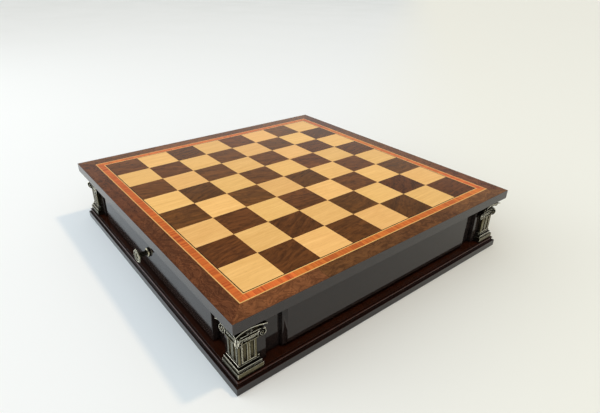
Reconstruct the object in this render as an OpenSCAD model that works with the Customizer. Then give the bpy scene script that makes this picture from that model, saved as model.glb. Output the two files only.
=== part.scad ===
// Chess box: an inlaid chessboard top on a square case with two drawers,
// a moulded base and four fluted corner columns of cast brass.
// Millimetres. X runs left to right, Y front to back, Z up from the table.

/* [Board] */
// Side of one square of the chessboard
square = 50; // [44:1:54]
// Width of each thin line of stringing
stringing_w = 1.2; // [0.8:0.1:2]
// Width of the cross-grained band round the squares
band_w = 8.8; // [6:0.2:12]
// Width of the burl border
burl_w = 20.9; // [16:0.1:26]
// Thickness of the veneers
veneer_t = 0.8; // [0.5:0.1:1.4]

/* [Top] */
// Thickness of the whole top, veneers included
top_t = 13; // [11:0.5:18]
// Width of the solid edging round the top's core
edging_w = 12; // [8:0.5:16]
// Black edge left bare outside the burl border
edge_reveal = 0.2; // [0.1:0.1:1]

/* [Base] */
// Height of the base, up to its flat ledge
base_h = 15.5; // [13:0.5:20]
// How far the base stands inside the top's edge
base_inset = 1.5; // [0:0.5:4]
// Width of the base moulding, seen from above
moulding_w = 26; // [24:0.5:30]
// Radius of the rounded upper edge of the base
ovolo_r = 2.8; // [1.5:0.1:3.5]
// Radius of the small bead behind the rounded edge
bead_r = 0.9; // [0.5:0.1:1.2]
// Thickness of the felt under the base
felt_t = 0.8; // [0.5:0.1:1.5]

/* [Case] */
// Height of the whole box
box_h = 95; // [88:1:120]
// Width of each square corner post
post_w = 31; // [28:1:36]
// Distance from the base's edge to the post's face
post_inset = 14; // [12:0.5:16]
// Depth of the recess from the post's face to the wall
recess_d = 6; // [4:0.5:8]
// Thickness of the walls, stiles, rails and divider
wall_t = 8; // [6:0.5:10]
// How far the side panels and drawer fronts stand proud of the wall
panel_t = 8; // [5:0.5:10]
// Width of the recess between a post and a panel
reveal_w = 22; // [18:0.5:26]
// Gap between the ledge and a side panel or a drawer front
panel_gap = 1.5; // [1:0.1:3]
// Gap between the top and a side panel or a drawer front
panel_drop = 8; // [5:0.5:9]
// Height of the rail above a drawer
rail_h = 12; // [10:0.5:16]
// Thickness of the guide beside each row of drawers
guide_t = 10; // [6:0.5:14]
// How far a kicker reaches in over a drawer side
kicker_w = 12; // [9:0.5:16]

/* [Drawers] */
// How far a drawer opens
travel = 150; // [80:5:155]
// How far a drawer front laps over the stiles
overlap = 7; // [4:0.5:10]
// Thickness of the inner layer of a drawer front
inner_front_t = 7; // [6:0.5:10]
// Thickness of the drawer sides and back
drawer_t = 8; // [6:0.5:10]
// Thickness of the drawer bottom
bottom_t = 3; // [2:0.5:4]
// Height of the drawer bottom above the drawer's lower edge
bottom_lift = 3.2; // [2:0.2:5]
// Depth of the groove that holds the drawer bottom
groove_d = 3; // [2:0.5:4]
// Thickness of the felt lining
lining_t = 1; // [0.5:0.1:2]
// Thickness of the partition
partition_t = 5; // [3:0.5:8]
// Place of the partition, to the right of the middle
partition_x = 45; // [20:1:80]
// How far the partition stands below the drawer's upper edge
partition_drop = 10; // [6:1:20]
// Width of the block that stops an opening drawer
stop_w = 30; // [16:1:50]
// Thickness of the block that stops an opening drawer
stop_t = 10; // [6:0.5:14]
// How far the stop block hangs past the drawer's upper edge
stop_catch = 2.7; // [1.5:0.1:4]

/* [Columns] */
// Height of a column's plinth
plinth_h = 6.9; // [5:0.1:9]
// How far the plinth stands proud of the post
plinth_out = 9.3; // [8:0.1:10]
// Reach of the plinth along each face, from its corner
plinth_reach = 31; // [27:0.5:34]
// Height of the moulding above the plinth
torus_h = 3.1; // [2:0.1:4]
// How far that moulding stands proud of the post
torus_out = 7.6; // [6.5:0.1:8]
// Height of the groove above that moulding
neck_h = 1.6; // [1:0.1:2.5]
// Height of the fillet at the foot of the shaft
fillet_h = 2.2; // [1.5:0.1:3]
// How far the shaft stands proud of the post
shaft_out = 4; // [3.5:0.1:4.5]
// Reach of the shaft along each face, from its corner
shaft_reach = 20.2; // [18.5:0.1:21]
// Radius of each raised reed of the shaft
reed_r = 1.7; // [1.3:0.1:2]
// Radius of the reed at the shaft's corner
corner_reed_r = 3; // [2.2:0.1:3.4]
// Height of the capital's lower edge above the ledge
capital_z = 38.5; // [34:0.5:42]
// Height of the band of the capital below the abacus
echinus_h = 14.2; // [12:0.1:16]
// How far that band stands proud of the post
echinus_out = 6.2; // [5:0.1:7]
// Radius of the volutes
volute_r = 5.3; // [4:0.1:5.8]
// How far the volutes stand proud of the post
volute_out = 8.3; // [7.5:0.1:9]
// Distance from the post's face to the middle of the volute by the corner
volute_inset = 4; // [3:0.1:5]
// Distance between the two volutes of a face
volute_span = 25; // [22:0.5:27]
// Height of the volutes' middle above the capital's lower edge
volute_lift = 6.5; // [5.5:0.1:8]
// Thickness of the abacus
abacus_h = 5.4; // [4:0.1:7]
// How far the abacus stands proud of the post at its ends
abacus_out = 12; // [11:0.1:13]
// Depth of the abacus's hollow front
abacus_hollow = 3.4; // [2:0.1:4]
// Reach of the abacus along each face, from its corner
abacus_reach = 37.4; // [35:0.2:39]
// Radius of the flower on the abacus
flower_r = 4.2; // [3:0.1:4.6]

/* [Knobs] */
// Radius of the knob's disc
knob_r = 9.4; // [7:0.1:12]
// Thickness of the knob's disc
knob_t = 3.4; // [2.5:0.1:5]
// Distance from the drawer front to the knob's face
knob_out = 17; // [14:0.5:24]
// Radius of the knob's stem
stem_r = 2.9; // [2.6:0.1:4]
// Radius of the rosette behind the knob
rosette_r = 6.4; // [5.5:0.1:9]
// Thickness of the rosette
rosette_t = 3; // [2:0.1:4]
// Radius of the screw that holds the knob
screw_r = 2; // [1.5:0.1:2.2]
// How far the screw reaches into the knob
screw_bite = 7; // [5:0.5:8]
// Radius of the screw's head
head_r = 3.8; // [3:0.1:4.5]
// Thickness of the screw's head
head_t = 2.4; // [1.6:0.1:3]

/* [Clearances] */
// Running gap between a drawer and what it passes
run_gap = 0.3; // [0.2:0.1:0.6]
// Gap between a drawer side and its guide
side_gap = 0.8; // [0.4:0.1:0.9]
// Gap between a drawer's upper edge and the kickers
top_gap = 0.8; // [0.4:0.1:1.5]
// Gap between a drawer and the divider
rear_gap = 2; // [1:0.5:4]
// Gap round the knob screw where it passes through
screw_gap = 0.2; // [0.1:0.05:0.3]
// Gap between the screw and the thread in the knob
thread_gap = 0.05; // [0.02:0.01:0.08]
// Glue line where two strips of a frame meet at a mitre
glue_gap = 0.1; // [0.05:0.05:0.2]

/* [Hidden] */
$fn = 64;
SQUARES = 8;
// How far a cut runs past the face it opens.
cut = 1;
// How far the middle of a reed lies behind the shaft's face.
reed_sink = 0.4;
// How far the groove at the shaft's foot stands proud of the shaft.
neck_step = 0.4;
// How far the flower stays behind the abacus's ends.
flower_drop = 0.4;

field_half = SQUARES * square / 2;
dark_line_out = field_half + stringing_w;
light_line_out = dark_line_out + stringing_w;
band_out = light_line_out + band_w;
outer_line_out = band_out + stringing_w;
burl_out = outer_line_out + burl_w;
top_half = burl_out + edge_reveal;
core_half = top_half - edging_w;
veneer_z = box_h - veneer_t;
top_z = box_h - top_t;

base_half = top_half - base_inset;
base_in = base_half - moulding_w;
felt_half = base_half - moulding_w / 2;
post_face = base_half - post_inset;
post_in = post_face - post_w;
wall_face = post_face - recess_d;
wall_in = wall_face - wall_t;
panel_half = post_in - reveal_w;
panel_face = wall_face + panel_t;
panel_z0 = base_h + panel_gap;
panel_z1 = top_z - panel_drop;

rail_z = top_z - rail_h;
opening_half = panel_half - overlap;
kicker_in = opening_half - kicker_w;
half_divider = wall_t / 2;

drawer_half = opening_half - side_gap;
drawer_in = drawer_half - drawer_t;
drawer_z0 = base_h + run_gap;
drawer_z1 = rail_z - top_gap;
front_back_y = wall_face + run_gap;
front_face_y = front_back_y + panel_t;
front_in_y = front_back_y - inner_front_t;
drawer_end_y = half_divider + rear_gap;
back_in_y = drawer_end_y + drawer_t;
bottom_z0 = drawer_z0 + bottom_lift;
bottom_z1 = bottom_z0 + bottom_t;
lining_z1 = bottom_z1 + lining_t;
partition_z1 = drawer_z1 - partition_drop;
stop_y = back_in_y + travel + run_gap;
stop_z = drawer_z1 - stop_catch;
knob_z = (panel_z0 + panel_z1) / 2;

plinth_z1 = base_h + plinth_h;
torus_z1 = plinth_z1 + torus_h;
torus_reach = plinth_reach - 2 * (plinth_out - torus_out);
neck_out = shaft_out + neck_step;
fillet_z0 = torus_z1 + neck_h;
fillet_out = shaft_out + reed_r;
fillet_reach = shaft_reach + 2 * reed_r;
neck_reach = fillet_reach - 2 * neck_step;
shaft_z0 = fillet_z0 + fillet_h;
shaft_z1 = base_h + capital_z;
echinus_z1 = shaft_z1 + echinus_h;
echinus_reach = shaft_reach + 2 * (echinus_out - shaft_out);
volute_z = shaft_z1 + volute_lift;
volute_near = post_face + volute_inset;
volute_far = volute_near - volute_span;
abacus_z1 = echinus_z1 + abacus_h;
abacus_mid = post_face + abacus_out - abacus_reach / 2;
// Radius of the arc through the abacus's two ends and the bottom of its hollow.
hollow_r = (pow(abacus_reach / 2, 2) + pow(abacus_hollow, 2)) / (2 * abacus_hollow);

// A box between two opposite corners.
module block(low, high) {
    translate(low)
        cube(high - low);
}

// Turns a piece drawn at the right, or at the back right corner, by quarter turns.
module turned(quarters) {
    rotate([0, 0, 90 * quarters])
        children();
}

// A flat strip along the right edge of a square frame, with mitred ends.
module mitred_strip(inner, outer, z0, z1) {
    inner_end = inner - glue_gap / 2;
    outer_end = outer - glue_gap / 2;
    translate([0, 0, z0])
        linear_extrude(height = z1 - z0)
            polygon([[inner, -inner_end], [outer, -outer_end], [outer, outer_end], [inner, inner_end]]);
}

// Four mitred strips round a square.
module mitred_frame(inner, outer, z0, z1) {
    for (side = [0 : 3])
        turned(side)
            mitred_strip(inner, outer, z0, z1);
}

// ---- Base ----

module base_felt() {
    color("darkgreen")
        block([-felt_half, -felt_half, 0], [felt_half, felt_half, felt_t]);
}

module base_board() {
    color("burlywood")
        block([-base_in, -base_in, felt_t], [base_in, base_in, base_h]);
}

// Cross-section of the base moulding: distance from the middle, height.
module moulding_section() {
    ovolo_x = base_half - ovolo_r;
    step = 0.4;
    ovolo_z = base_h - step - ovolo_r;
    bead_x = ovolo_x - bead_r;
    quirk_w = 0.5;
    ledge_x = bead_x - bead_r - quirk_w;
    quirk_z = base_h - bead_r;
    translate([base_in, felt_t])
        square([ledge_x - base_in, base_h - felt_t]);
    translate([ledge_x, felt_t])
        square([ovolo_x - ledge_x, quirk_z - felt_t]);
    translate([ovolo_x, felt_t])
        square([ovolo_r, ovolo_z - felt_t]);
    translate([ovolo_x, ovolo_z])
        intersection() {
            circle(r = ovolo_r);
            square(ovolo_r);
        }
    translate([bead_x, quirk_z])
        circle(r = bead_r);
}

module base_moulding() {
    color("#241a16")
        intersection() {
            rotate([90, 0, 0])
                linear_extrude(height = 2 * base_half, center = true)
                    moulding_section();
            linear_extrude(height = base_h + cut)
                polygon([[0, 0], [base_half + cut, -base_half - cut], [base_half + cut, base_half + cut]]);
        }
}

// ---- Case ----

module post() {
    color("#1c1513")
        block([post_in, post_in, base_h], [post_face, post_face, top_z]);
}

module side_wall() {
    color("#1c1513")
        block([wall_in, -post_in, base_h], [wall_face, post_in, top_z]);
}

module side_panel() {
    color("#1c1513")
        block([wall_face, -panel_half, panel_z0], [panel_face, panel_half, panel_z1]);
}

// Upright strip beside a drawer opening, at the back right.
module stile() {
    color("#1c1513")
        block([opening_half, wall_in, base_h], [post_in, wall_face, rail_z]);
}

// Strip above the drawer opening, at the back.
module rail() {
    color("#1c1513")
        block([-post_in, wall_in, rail_z], [post_in, wall_face, top_z]);
}

module guide() {
    color("burlywood")
        block([opening_half, -wall_in, base_h], [opening_half + guide_t, wall_in, rail_z]);
}

// Strip over the drawer sides, which keeps an open drawer from tipping.
module kicker() {
    color("burlywood")
        block([kicker_in, -wall_in, rail_z], [opening_half + guide_t, wall_in, top_z]);
}

module divider() {
    color("burlywood")
        block([-opening_half, -half_divider, base_h], [opening_half, half_divider, rail_z]);
}

// Block under the top that catches the back of an opening drawer, at the back.
module drawer_stop() {
    color("burlywood")
        block([-stop_w / 2, stop_y, stop_z], [stop_w / 2, stop_y + stop_t, top_z]);
}

// ---- Corner columns ----

// One tier of a column: an L that wraps the outer corner of the back right post.
module l_tier(out, reach, z0, z1) {
    outer = post_face + out;
    inner = outer - reach;
    block([post_face, inner, z0], [outer, outer, z1]);
    block([inner, post_face, z0], [post_face, outer, z1]);
}

// Repeats a piece of the right-hand face on the back face.
module both_faces() {
    children();
    mirror([1, -1, 0])
        children();
}

module shaft() {
    shaft_face = post_face + shaft_out;
    shaft_h = shaft_z1 - shaft_z0;
    pitch = (shaft_reach - corner_reed_r - reed_r) / 2;
    corner_mid = shaft_face - corner_reed_r + reed_r - reed_sink;
    l_tier(shaft_out, shaft_reach, shaft_z0, shaft_z1);
    both_faces()
        for (reed = [1 : 2])
            translate([shaft_face - reed_sink, shaft_face - corner_reed_r - reed * pitch, shaft_z0])
                cylinder(r = reed_r, h = shaft_h);
    translate([corner_mid, corner_mid, shaft_z0])
        cylinder(r = corner_reed_r, h = shaft_h);
}

module volute(y) {
    translate([post_face, y, volute_z])
        rotate([0, 90, 0])
            cylinder(r = volute_r, h = volute_out);
}

module abacus() {
    hollow_x = post_face + abacus_out - abacus_hollow + hollow_r;
    difference() {
        l_tier(abacus_out, abacus_reach, echinus_z1, abacus_z1);
        both_faces()
            translate([hollow_x, abacus_mid, echinus_z1 - cut])
                cylinder(r = hollow_r, h = abacus_h + 2 * cut, $fn = 180);
    }
    both_faces()
        translate([post_face, abacus_mid, abacus_z1 - flower_r])
            rotate([0, 90, 0])
                cylinder(r = flower_r, h = abacus_out - flower_drop);
}

module column() {
    color("#8f7d57") {
        l_tier(plinth_out, plinth_reach, base_h, plinth_z1);
        l_tier(torus_out, torus_reach, plinth_z1, torus_z1);
        l_tier(neck_out, neck_reach, torus_z1, fillet_z0);
        l_tier(fillet_out, fillet_reach, fillet_z0, shaft_z0);
        shaft();
        l_tier(echinus_out, echinus_reach, shaft_z1, echinus_z1);
        both_faces() {
            volute(volute_near);
            volute(volute_far);
        }
        abacus();
    }
}

// ---- Top ----

module top_core() {
    color("burlywood")
        block([-core_half, -core_half, top_z], [core_half, core_half, veneer_z]);
}

module top_edging() {
    color("#1c1513")
        mitred_frame(core_half, top_half, top_z, veneer_z);
}

// Every second square of the board, starting beside or at the front left corner.
module squares(first) {
    for (row = [0 : SQUARES - 1])
        for (col = [(row + first) % 2 : 2 : SQUARES - 1])
            translate([col * square - field_half, row * square - field_half, veneer_z])
                cube([square, square, veneer_t]);
}

module light_squares() {
    color("#e8bd7a")
        squares(1);
}

module dark_squares() {
    color("#4a2a1c")
        squares(0);
}

module dark_stringing() {
    color("#2a1712")
        mitred_frame(field_half, dark_line_out, veneer_z, box_h);
}

module light_stringing() {
    color("#e0b987") {
        mitred_frame(dark_line_out, light_line_out, veneer_z, box_h);
        mitred_frame(band_out, outer_line_out, veneer_z, box_h);
    }
}

module crossband() {
    color("#c8602c")
        mitred_frame(light_line_out, band_out, veneer_z, box_h);
}

module burl_border() {
    color("#7a4a30")
        mitred_frame(outer_line_out, burl_out, veneer_z, box_h);
}

// ---- Drawers, drawn at the back and turned round for the front ----

// The bottom board with its tongue in the grooves of the front and the sides.
module bottom_board(grow) {
    half = drawer_in + groove_d;
    block([-half, drawer_end_y - grow, bottom_z0], [half, front_in_y + groove_d, bottom_z1]);
}

// Places a turned piece on the drawer front, with its axis pointing outwards.
module on_front() {
    translate([0, front_face_y, knob_z])
        rotate([-90, 0, 0])
            children();
}

module drawer_front() {
    front_t = front_face_y - front_in_y;
    color("#1c1513")
        difference() {
            union() {
                block([-panel_half, front_back_y, panel_z0], [panel_half, front_face_y, panel_z1]);
                block([-drawer_half, front_in_y, drawer_z0], [drawer_half, front_back_y, drawer_z1]);
            }
            bottom_board(0);
            on_front() {
                translate([0, 0, -front_t - cut])
                    cylinder(r = screw_r + screw_gap, h = front_t + 2 * cut);
                translate([0, 0, -front_t - cut])
                    cylinder(r = head_r + screw_gap, h = head_t + run_gap + cut);
            }
        }
}

module drawer_side(side) {
    outer = side * drawer_half;
    inner = side * drawer_in;
    color("burlywood")
        difference() {
            block([min(outer, inner), drawer_end_y, drawer_z0], [max(outer, inner), front_in_y, drawer_z1]);
            bottom_board(cut);
        }
}

module drawer_back() {
    color("burlywood")
        block([-drawer_in, drawer_end_y, bottom_z1], [drawer_in, back_in_y, drawer_z1]);
}

module drawer_bottom() {
    color("burlywood")
        bottom_board(0);
}

module drawer_lining() {
    color("darkgreen")
        block([-drawer_in, back_in_y, bottom_z1], [drawer_in, front_in_y, lining_z1]);
}

module drawer_partition() {
    color("burlywood")
        block([partition_x - partition_t / 2, back_in_y, lining_z1],
              [partition_x + partition_t / 2, front_in_y, partition_z1]);
}

module rosette() {
    rim = rosette_t / 3;
    boss_step = 1.5;
    boss_r = stem_r + boss_step;
    color("#8f7d57")
        on_front()
            rotate_extrude()
                polygon([
                    [screw_r + screw_gap, 0],
                    [rosette_r, 0],
                    [rosette_r, rim],
                    [rosette_r - rim, 2 * rim],
                    [boss_r, 2 * rim],
                    [boss_r, rosette_t],
                    [screw_r + screw_gap, rosette_t]
                ]);
}

module knob() {
    foot_step = 1;
    foot_cone = 1.4;
    flare_h = 2;
    flare_r = knob_r / 2;
    round_e = 0.8;
    foot_z = rosette_t + foot_step;
    disc_z = knob_out - knob_t;
    bore_z = rosette_t + screw_bite + run_gap;
    color("#8f7d57")
        on_front()
            rotate_extrude()
                polygon([
                    [screw_r + thread_gap, rosette_t],
                    [stem_r + foot_step, rosette_t],
                    [stem_r + foot_step, foot_z],
                    [stem_r, foot_z + foot_cone],
                    [stem_r, disc_z - flare_h],
                    [flare_r, disc_z - round_e],
                    [knob_r - round_e, disc_z],
                    [knob_r, disc_z + round_e],
                    [knob_r, knob_out - round_e],
                    [knob_r - round_e, knob_out],
                    [0, knob_out],
                    [0, bore_z],
                    [screw_r + thread_gap, bore_z]
                ]);
}

module knob_screw() {
    front_t = front_face_y - front_in_y;
    head_z = -front_t + run_gap;
    slot_w = 1;
    color("silver")
        on_front()
            difference() {
                union() {
                    translate([0, 0, head_z])
                        cylinder(r = head_r, h = head_t);
                    translate([0, 0, head_z])
                        cylinder(r = screw_r, h = rosette_t + screw_bite - head_z);
                }
                block([-head_r - cut, -slot_w / 2, head_z - cut],
                      [head_r + cut, slot_w / 2, head_z + head_t / 2]);
            }
}

base_felt();
base_board();
turned(0) base_moulding();  // base_moulding_right
turned(1) base_moulding();  // base_moulding_back
turned(2) base_moulding();  // base_moulding_left
turned(3) base_moulding();  // base_moulding_front
turned(0) post();  // post_back_right
turned(1) post();  // post_back_left
turned(2) post();  // post_front_left
turned(3) post();  // post_front_right
turned(0) column();  // column_back_right
turned(1) column();  // column_back_left
turned(2) column();  // column_front_left
turned(3) column();  // column_front_right
turned(0) side_wall();  // side_wall_right
turned(2) side_wall();  // side_wall_left
turned(0) side_panel();  // side_panel_right
turned(2) side_panel();  // side_panel_left
turned(2) stile();  // front_stile_left
mirror([0, 1, 0]) stile();  // front_stile_right
mirror([1, 0, 0]) stile();  // back_stile_left
turned(0) stile();  // back_stile_right
turned(2) rail();  // front_rail
turned(0) rail();  // back_rail
turned(0) guide();  // guide_right
turned(2) guide();  // guide_left
turned(0) kicker();  // kicker_right
turned(2) kicker();  // kicker_left
divider();
turned(2) drawer_stop();  // front_drawer_stop
turned(0) drawer_stop();  // back_drawer_stop
top_core();
top_edging();
light_squares();
dark_squares();
dark_stringing();
light_stringing();
crossband();
burl_border();
turned(2) drawer_front();  // front_drawer_front
turned(2) drawer_side(1);  // front_drawer_left_side
turned(2) drawer_side(-1);  // front_drawer_right_side
turned(2) drawer_back();  // front_drawer_back
turned(2) drawer_bottom();  // front_drawer_bottom
turned(2) drawer_lining();  // front_drawer_lining
turned(2) drawer_partition();  // front_drawer_partition
turned(2) knob();  // front_knob
turned(2) rosette();  // front_rosette
turned(2) knob_screw();  // front_knob_screw
turned(0) drawer_front();  // back_drawer_front
turned(0) drawer_side(-1);  // back_drawer_left_side
turned(0) drawer_side(1);  // back_drawer_right_side
turned(0) drawer_back();  // back_drawer_back
turned(0) drawer_bottom();  // back_drawer_bottom
turned(0) drawer_lining();  // back_drawer_lining
turned(0) drawer_partition();  // back_drawer_partition
turned(0) knob();  // back_knob
turned(0) rosette();  // back_rosette
turned(0) knob_screw();  // back_knob_screw
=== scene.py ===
"""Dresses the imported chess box: rounded and lacquered case parts, cast brass columns
and knobs, inlaid veneers, felt linings, and a plain studio round it."""

import math
import random

import bmesh
import bpy
from mathutils import Matrix, Vector


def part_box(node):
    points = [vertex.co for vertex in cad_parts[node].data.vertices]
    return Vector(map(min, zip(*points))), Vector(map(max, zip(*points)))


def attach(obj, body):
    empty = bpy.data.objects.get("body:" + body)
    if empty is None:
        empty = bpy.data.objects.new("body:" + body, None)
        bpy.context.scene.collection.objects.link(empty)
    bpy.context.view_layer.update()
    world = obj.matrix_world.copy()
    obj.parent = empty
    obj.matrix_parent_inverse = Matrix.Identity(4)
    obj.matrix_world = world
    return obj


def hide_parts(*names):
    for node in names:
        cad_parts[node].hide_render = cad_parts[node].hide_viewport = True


bl_info = {
    "name": "Chess Box With Drawers",
    "version": (1, 0, 0),
    "blender": (4, 5, 0),
    "location": "3D View > Sidebar > Chess Box",
    "description": "Builds the chess box round its packed frame",
    "category": "Object",
}

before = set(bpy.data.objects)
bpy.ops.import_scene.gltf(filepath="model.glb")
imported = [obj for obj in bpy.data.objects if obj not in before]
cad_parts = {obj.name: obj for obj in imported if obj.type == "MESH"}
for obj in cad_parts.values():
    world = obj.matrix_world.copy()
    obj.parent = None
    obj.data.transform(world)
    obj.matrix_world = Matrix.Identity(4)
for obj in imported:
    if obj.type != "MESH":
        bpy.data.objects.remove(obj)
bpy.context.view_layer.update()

MM = 0.001
CORNERS = ("back_right", "back_left", "front_left", "front_right")
SIDES = ("right", "back", "left", "front")
# Each drawer, with the quarter turns that bring it round from the back.
DRAWERS = {"back": 0, "front": 2}

VENEER_UNDER, BOX_TOP = (corner.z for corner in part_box("burl_border"))
TOP_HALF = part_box("top_edging")[1].x
TOP_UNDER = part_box("top_edging")[0].z
FIELD_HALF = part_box("light_squares")[1].x
BURL_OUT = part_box("burl_border")[1].x
POST_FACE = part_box("post_back_right")[1].x
LEDGE_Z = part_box("post_back_right")[0].z
BASE_IN, BASE_HALF = (corner.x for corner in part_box("base_moulding_right"))
BASE_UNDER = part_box("base_moulding_right")[0].z
# Where the plain face of the base ends and its mouldings begin.
PLAIN_FACE_TOP = LEDGE_Z - 5.4 * MM
FRONT_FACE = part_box("back_drawer_front")[1].y
KNOB_Z = sum(v.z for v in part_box("back_knob")) / 2
KNOB_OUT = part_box("back_knob")[1].y - FRONT_FACE
# Middle of the flower on a capital's right-hand face, round which the brass is darkened with painted shade.
FLOWER = (POST_FACE + 7.5 * MM, POST_FACE - 6.7 * MM, LEDGE_Z + 53.9 * MM)

# Clear lacquer on the veneers: its index, and how rough it is where it is clean and where it is smeared.
VENEER_IOR = 1.42
VENEER_GLOSS = (0.08, 0.17)
# Odd numbers that send each leaf and each side to its own part of the noise.
GRAIN_SHIFT, FIGURE_SHIFT, SIDE_SHIFT, TONE_SHIFT = 37.0, 53.0, 31.0, 91.7
LEAF_SEED, TONE_SEED = 0.253, 0.31

# Where the camera stands, and its three axes.
CAMERA_AT = (0.51318, -0.38737, 0.38085)
CAMERA_RIGHT = (0.62595, 0.77964, 0.0187)
CAMERA_DOWN = (0.37282, -0.2781, -0.88525)
CAMERA_FORWARD = (-0.68497, 0.5611, -0.46474)


# ---- Sizes and colours that a user would change ----


def length(name, description, value):
    return bpy.props.FloatProperty(
        name=name, description=description, default=value, min=0, precision=5, unit="LENGTH", subtype="DISTANCE"
    )


def colour(name, description, value):
    return bpy.props.FloatVectorProperty(
        name=name, description=description, default=(*value, 1), size=4, min=0, max=1, subtype="COLOR"
    )


def count(name, description, value, least, most):
    return bpy.props.IntProperty(name=name, description=description, default=value, min=least, max=most)


def number(name, description, value):
    return bpy.props.FloatProperty(name=name, description=description, default=value, min=0)


class ColumnSizes(bpy.types.PropertyGroup):
    """Sizes of the carving on the corner columns."""

    flute_depth: length("Flute depth", "How deep the flutes of a shaft are cut", 2.3 * MM)
    flute_half: length("Flute half width", "Half the width of a flute", 2.6 * MM)
    scroll_r: length("Scroll radius", "Distance from a volute's eye to the middle of its outer ridge", 5.0 * MM)
    egg_pitch: length("Egg pitch", "Distance between two eggs of the capital", 2.9 * MM)
    tongue_pitch: length("Tongue pitch", "Distance between two tongues of the foot moulding", 1.56 * MM)
    petals: count("Petals", "Petals of each flower", 8, 5, 12)


class KnobSizes(bpy.types.PropertyGroup):
    """Sizes of the knobs' beading."""

    bead_r: length("Bead radius", "Radius of each bead on a knob's rim", 0.72 * MM)
    bead_ring: length("Bead ring", "Radius of the ring on which the beads stand", 7.75 * MM)
    beads: count("Beads", "Beads on each knob", 26, 8, 40)


class CaseSizes(bpy.types.PropertyGroup):
    """Roundings of the case and of the drawers."""

    arris: length("Arris", "Radius of the eased edges of the black case", 0.7 * MM)
    top_arris: length("Top arris", "Radius of the eased edges of the top", 0.5 * MM)
    panel_bevel: length("Panel bevel", "Width of the raised panels' bevelled edges", 4.6 * MM)
    panel_bevel_depth: length("Panel bevel depth", "How far the bevel falls back from a panel's face", 3.8 * MM)
    drawer_arris: length("Drawer arris", "Radius of the eased edges inside the drawers", 0.5 * MM)
    leaf_groove: length("Leaf groove", "Width of the sunk glue line between two squares", 0.07 * MM)


class Colours(bpy.types.PropertyGroup):
    """Colours of the woods, the lacquers, the brass and the felt."""

    black: colour("Black lacquer", "Lacquer of the case", (0.012, 0.0085, 0.0075))
    moulding: colour("Moulding lacquer", "Dark red-brown lacquer of the base", (0.021, 0.0062, 0.0028))
    maple: colour("Light squares", "Maple veneer", (0.94, 0.545, 0.185))
    walnut: colour("Dark squares", "Walnut veneer", (0.138, 0.0505, 0.0125))
    burl: colour("Border", "Figured walnut veneer", (0.160, 0.058, 0.021))
    padauk: colour("Crossband", "Orange-red veneer", (0.74, 0.175, 0.032))
    dark_line: colour("Dark line", "Dark stringing", (0.045, 0.020, 0.012))
    light_line: colour("Light line", "Light stringing", (0.84, 0.46, 0.15))
    carcass: colour("Carcass wood", "Unfinished pale wood", (0.60, 0.42, 0.245))
    bright_brass: colour("Bright brass", "Rubbed edges of the antique brass", (0.95, 0.92, 0.76))
    brass: colour("Brass", "Plain faces of the antique brass", (0.135, 0.120, 0.074))
    knob_brass: colour("Knob brass", "Handled brass of the knobs", (0.50, 0.47, 0.36))
    # The dark oxide of the brass, also laid on as painted shade in its hollows, under the top, at the flowers and on
    # the knobs' necks.
    oxide_and_shade_colour: colour("Patina", "Darkened hollows of the antique brass", (0.014, 0.010, 0.006))
    felt: colour("Felt", "Green felt", (0.018, 0.105, 0.048))


class Studio(bpy.types.PropertyGroup):
    """Camera and light."""

    lens: number("Lens", "Focal length in millimetres", 27.645)
    ambient: number("Ambient", "Strength of the soft light all round", 1.0)
    warm_lamp: number("Warm lamp", "Strength of the lamp behind the box", 0.70)
    window: number("Window", "Power of the cool window light", 11.5)


GROUPS = {
    "chess_box_columns": ColumnSizes,
    "chess_box_knobs": KnobSizes,
    "chess_box_case": CaseSizes,
    "chess_box_colours": Colours,
    "chess_box_studio": Studio,
}


# ---- Shapes ----


def vertices(bm, points):
    return [bm.verts.new(p) for p in points]


def skin(bm, rows, closed=True):
    """Joins rows of vertices, in order, with faces. A row of one vertex is a tip."""
    for lower, upper in zip(rows, rows[1:]):
        size = max(len(lower), len(upper))
        for i in range(size if closed else size - 1):
            j = (i + 1) % size
            if len(lower) == 1:
                bm.faces.new((lower[0], upper[i], upper[j]))
            elif len(upper) == 1:
                bm.faces.new((upper[0], lower[i], lower[j]))
            else:
                bm.faces.new((lower[i], lower[j], upper[j], upper[i]))


def loft(bm, loops):
    """Joins closed loops of points, in order, into one closed shell."""
    rows = [vertices(bm, loop) for loop in loops]
    skin(bm, rows)
    bm.faces.new(rows[0][::-1])
    bm.faces.new(rows[-1])


def full_turn(steps):
    return [2 * math.pi * i / steps for i in range(steps)]


def lathe(bm, profile, place, steps):
    """Turns a profile of (radius, height) round an axis; place puts a point of it in the frame."""
    rows = []
    for radius, height in profile:
        turns = full_turn(steps) if radius else [0]
        rows.append(vertices(bm, [place(radius * math.cos(t), radius * math.sin(t), height) for t in turns]))
    skin(bm, rows)
    for row in (rows[0], rows[-1]):
        if len(row) > 1:
            bm.faces.new(row)


def arc(centre, radius, start, end, steps):
    """Points of an arc in a plane, with its angles in degrees."""
    turns = [math.radians(start + (end - start) * i / steps) for i in range(steps + 1)]
    return [(centre[0] + radius * math.cos(t), centre[1] + radius * math.sin(t)) for t in turns]


def rounded(points, which, radius, steps):
    """The outline through points, with the corners in which cut to arcs."""
    made = []
    for i, point in enumerate(points):
        here = Vector(point)
        if i not in which:
            made.append(tuple(here))
            continue
        before = (Vector(points[i - 1]) - here).normalized()
        after = (Vector(points[(i + 1) % len(points)]) - here).normalized()
        start, end = here + before * radius, here + after * radius
        for k in range(steps + 1):
            t = k / steps
            made.append(tuple(start * (1 - t) ** 2 + here * 2 * t * (1 - t) + end * t**2))
    return made


def board(bm, low, high, arris):
    """A board between two opposite corners, with eased edges."""
    made = bmesh.ops.create_cube(bm, size=1)["verts"]
    bmesh.ops.scale(bm, vec=high - low, verts=made)
    bmesh.ops.translate(bm, vec=(low + high) / 2, verts=made)
    edges = list(dict.fromkeys(e for v in made for e in v.link_edges))
    bmesh.ops.bevel(bm, geom=edges, offset=arris, segments=3, profile=0.5, affect="EDGES", clamp_overlap=True)


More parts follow.
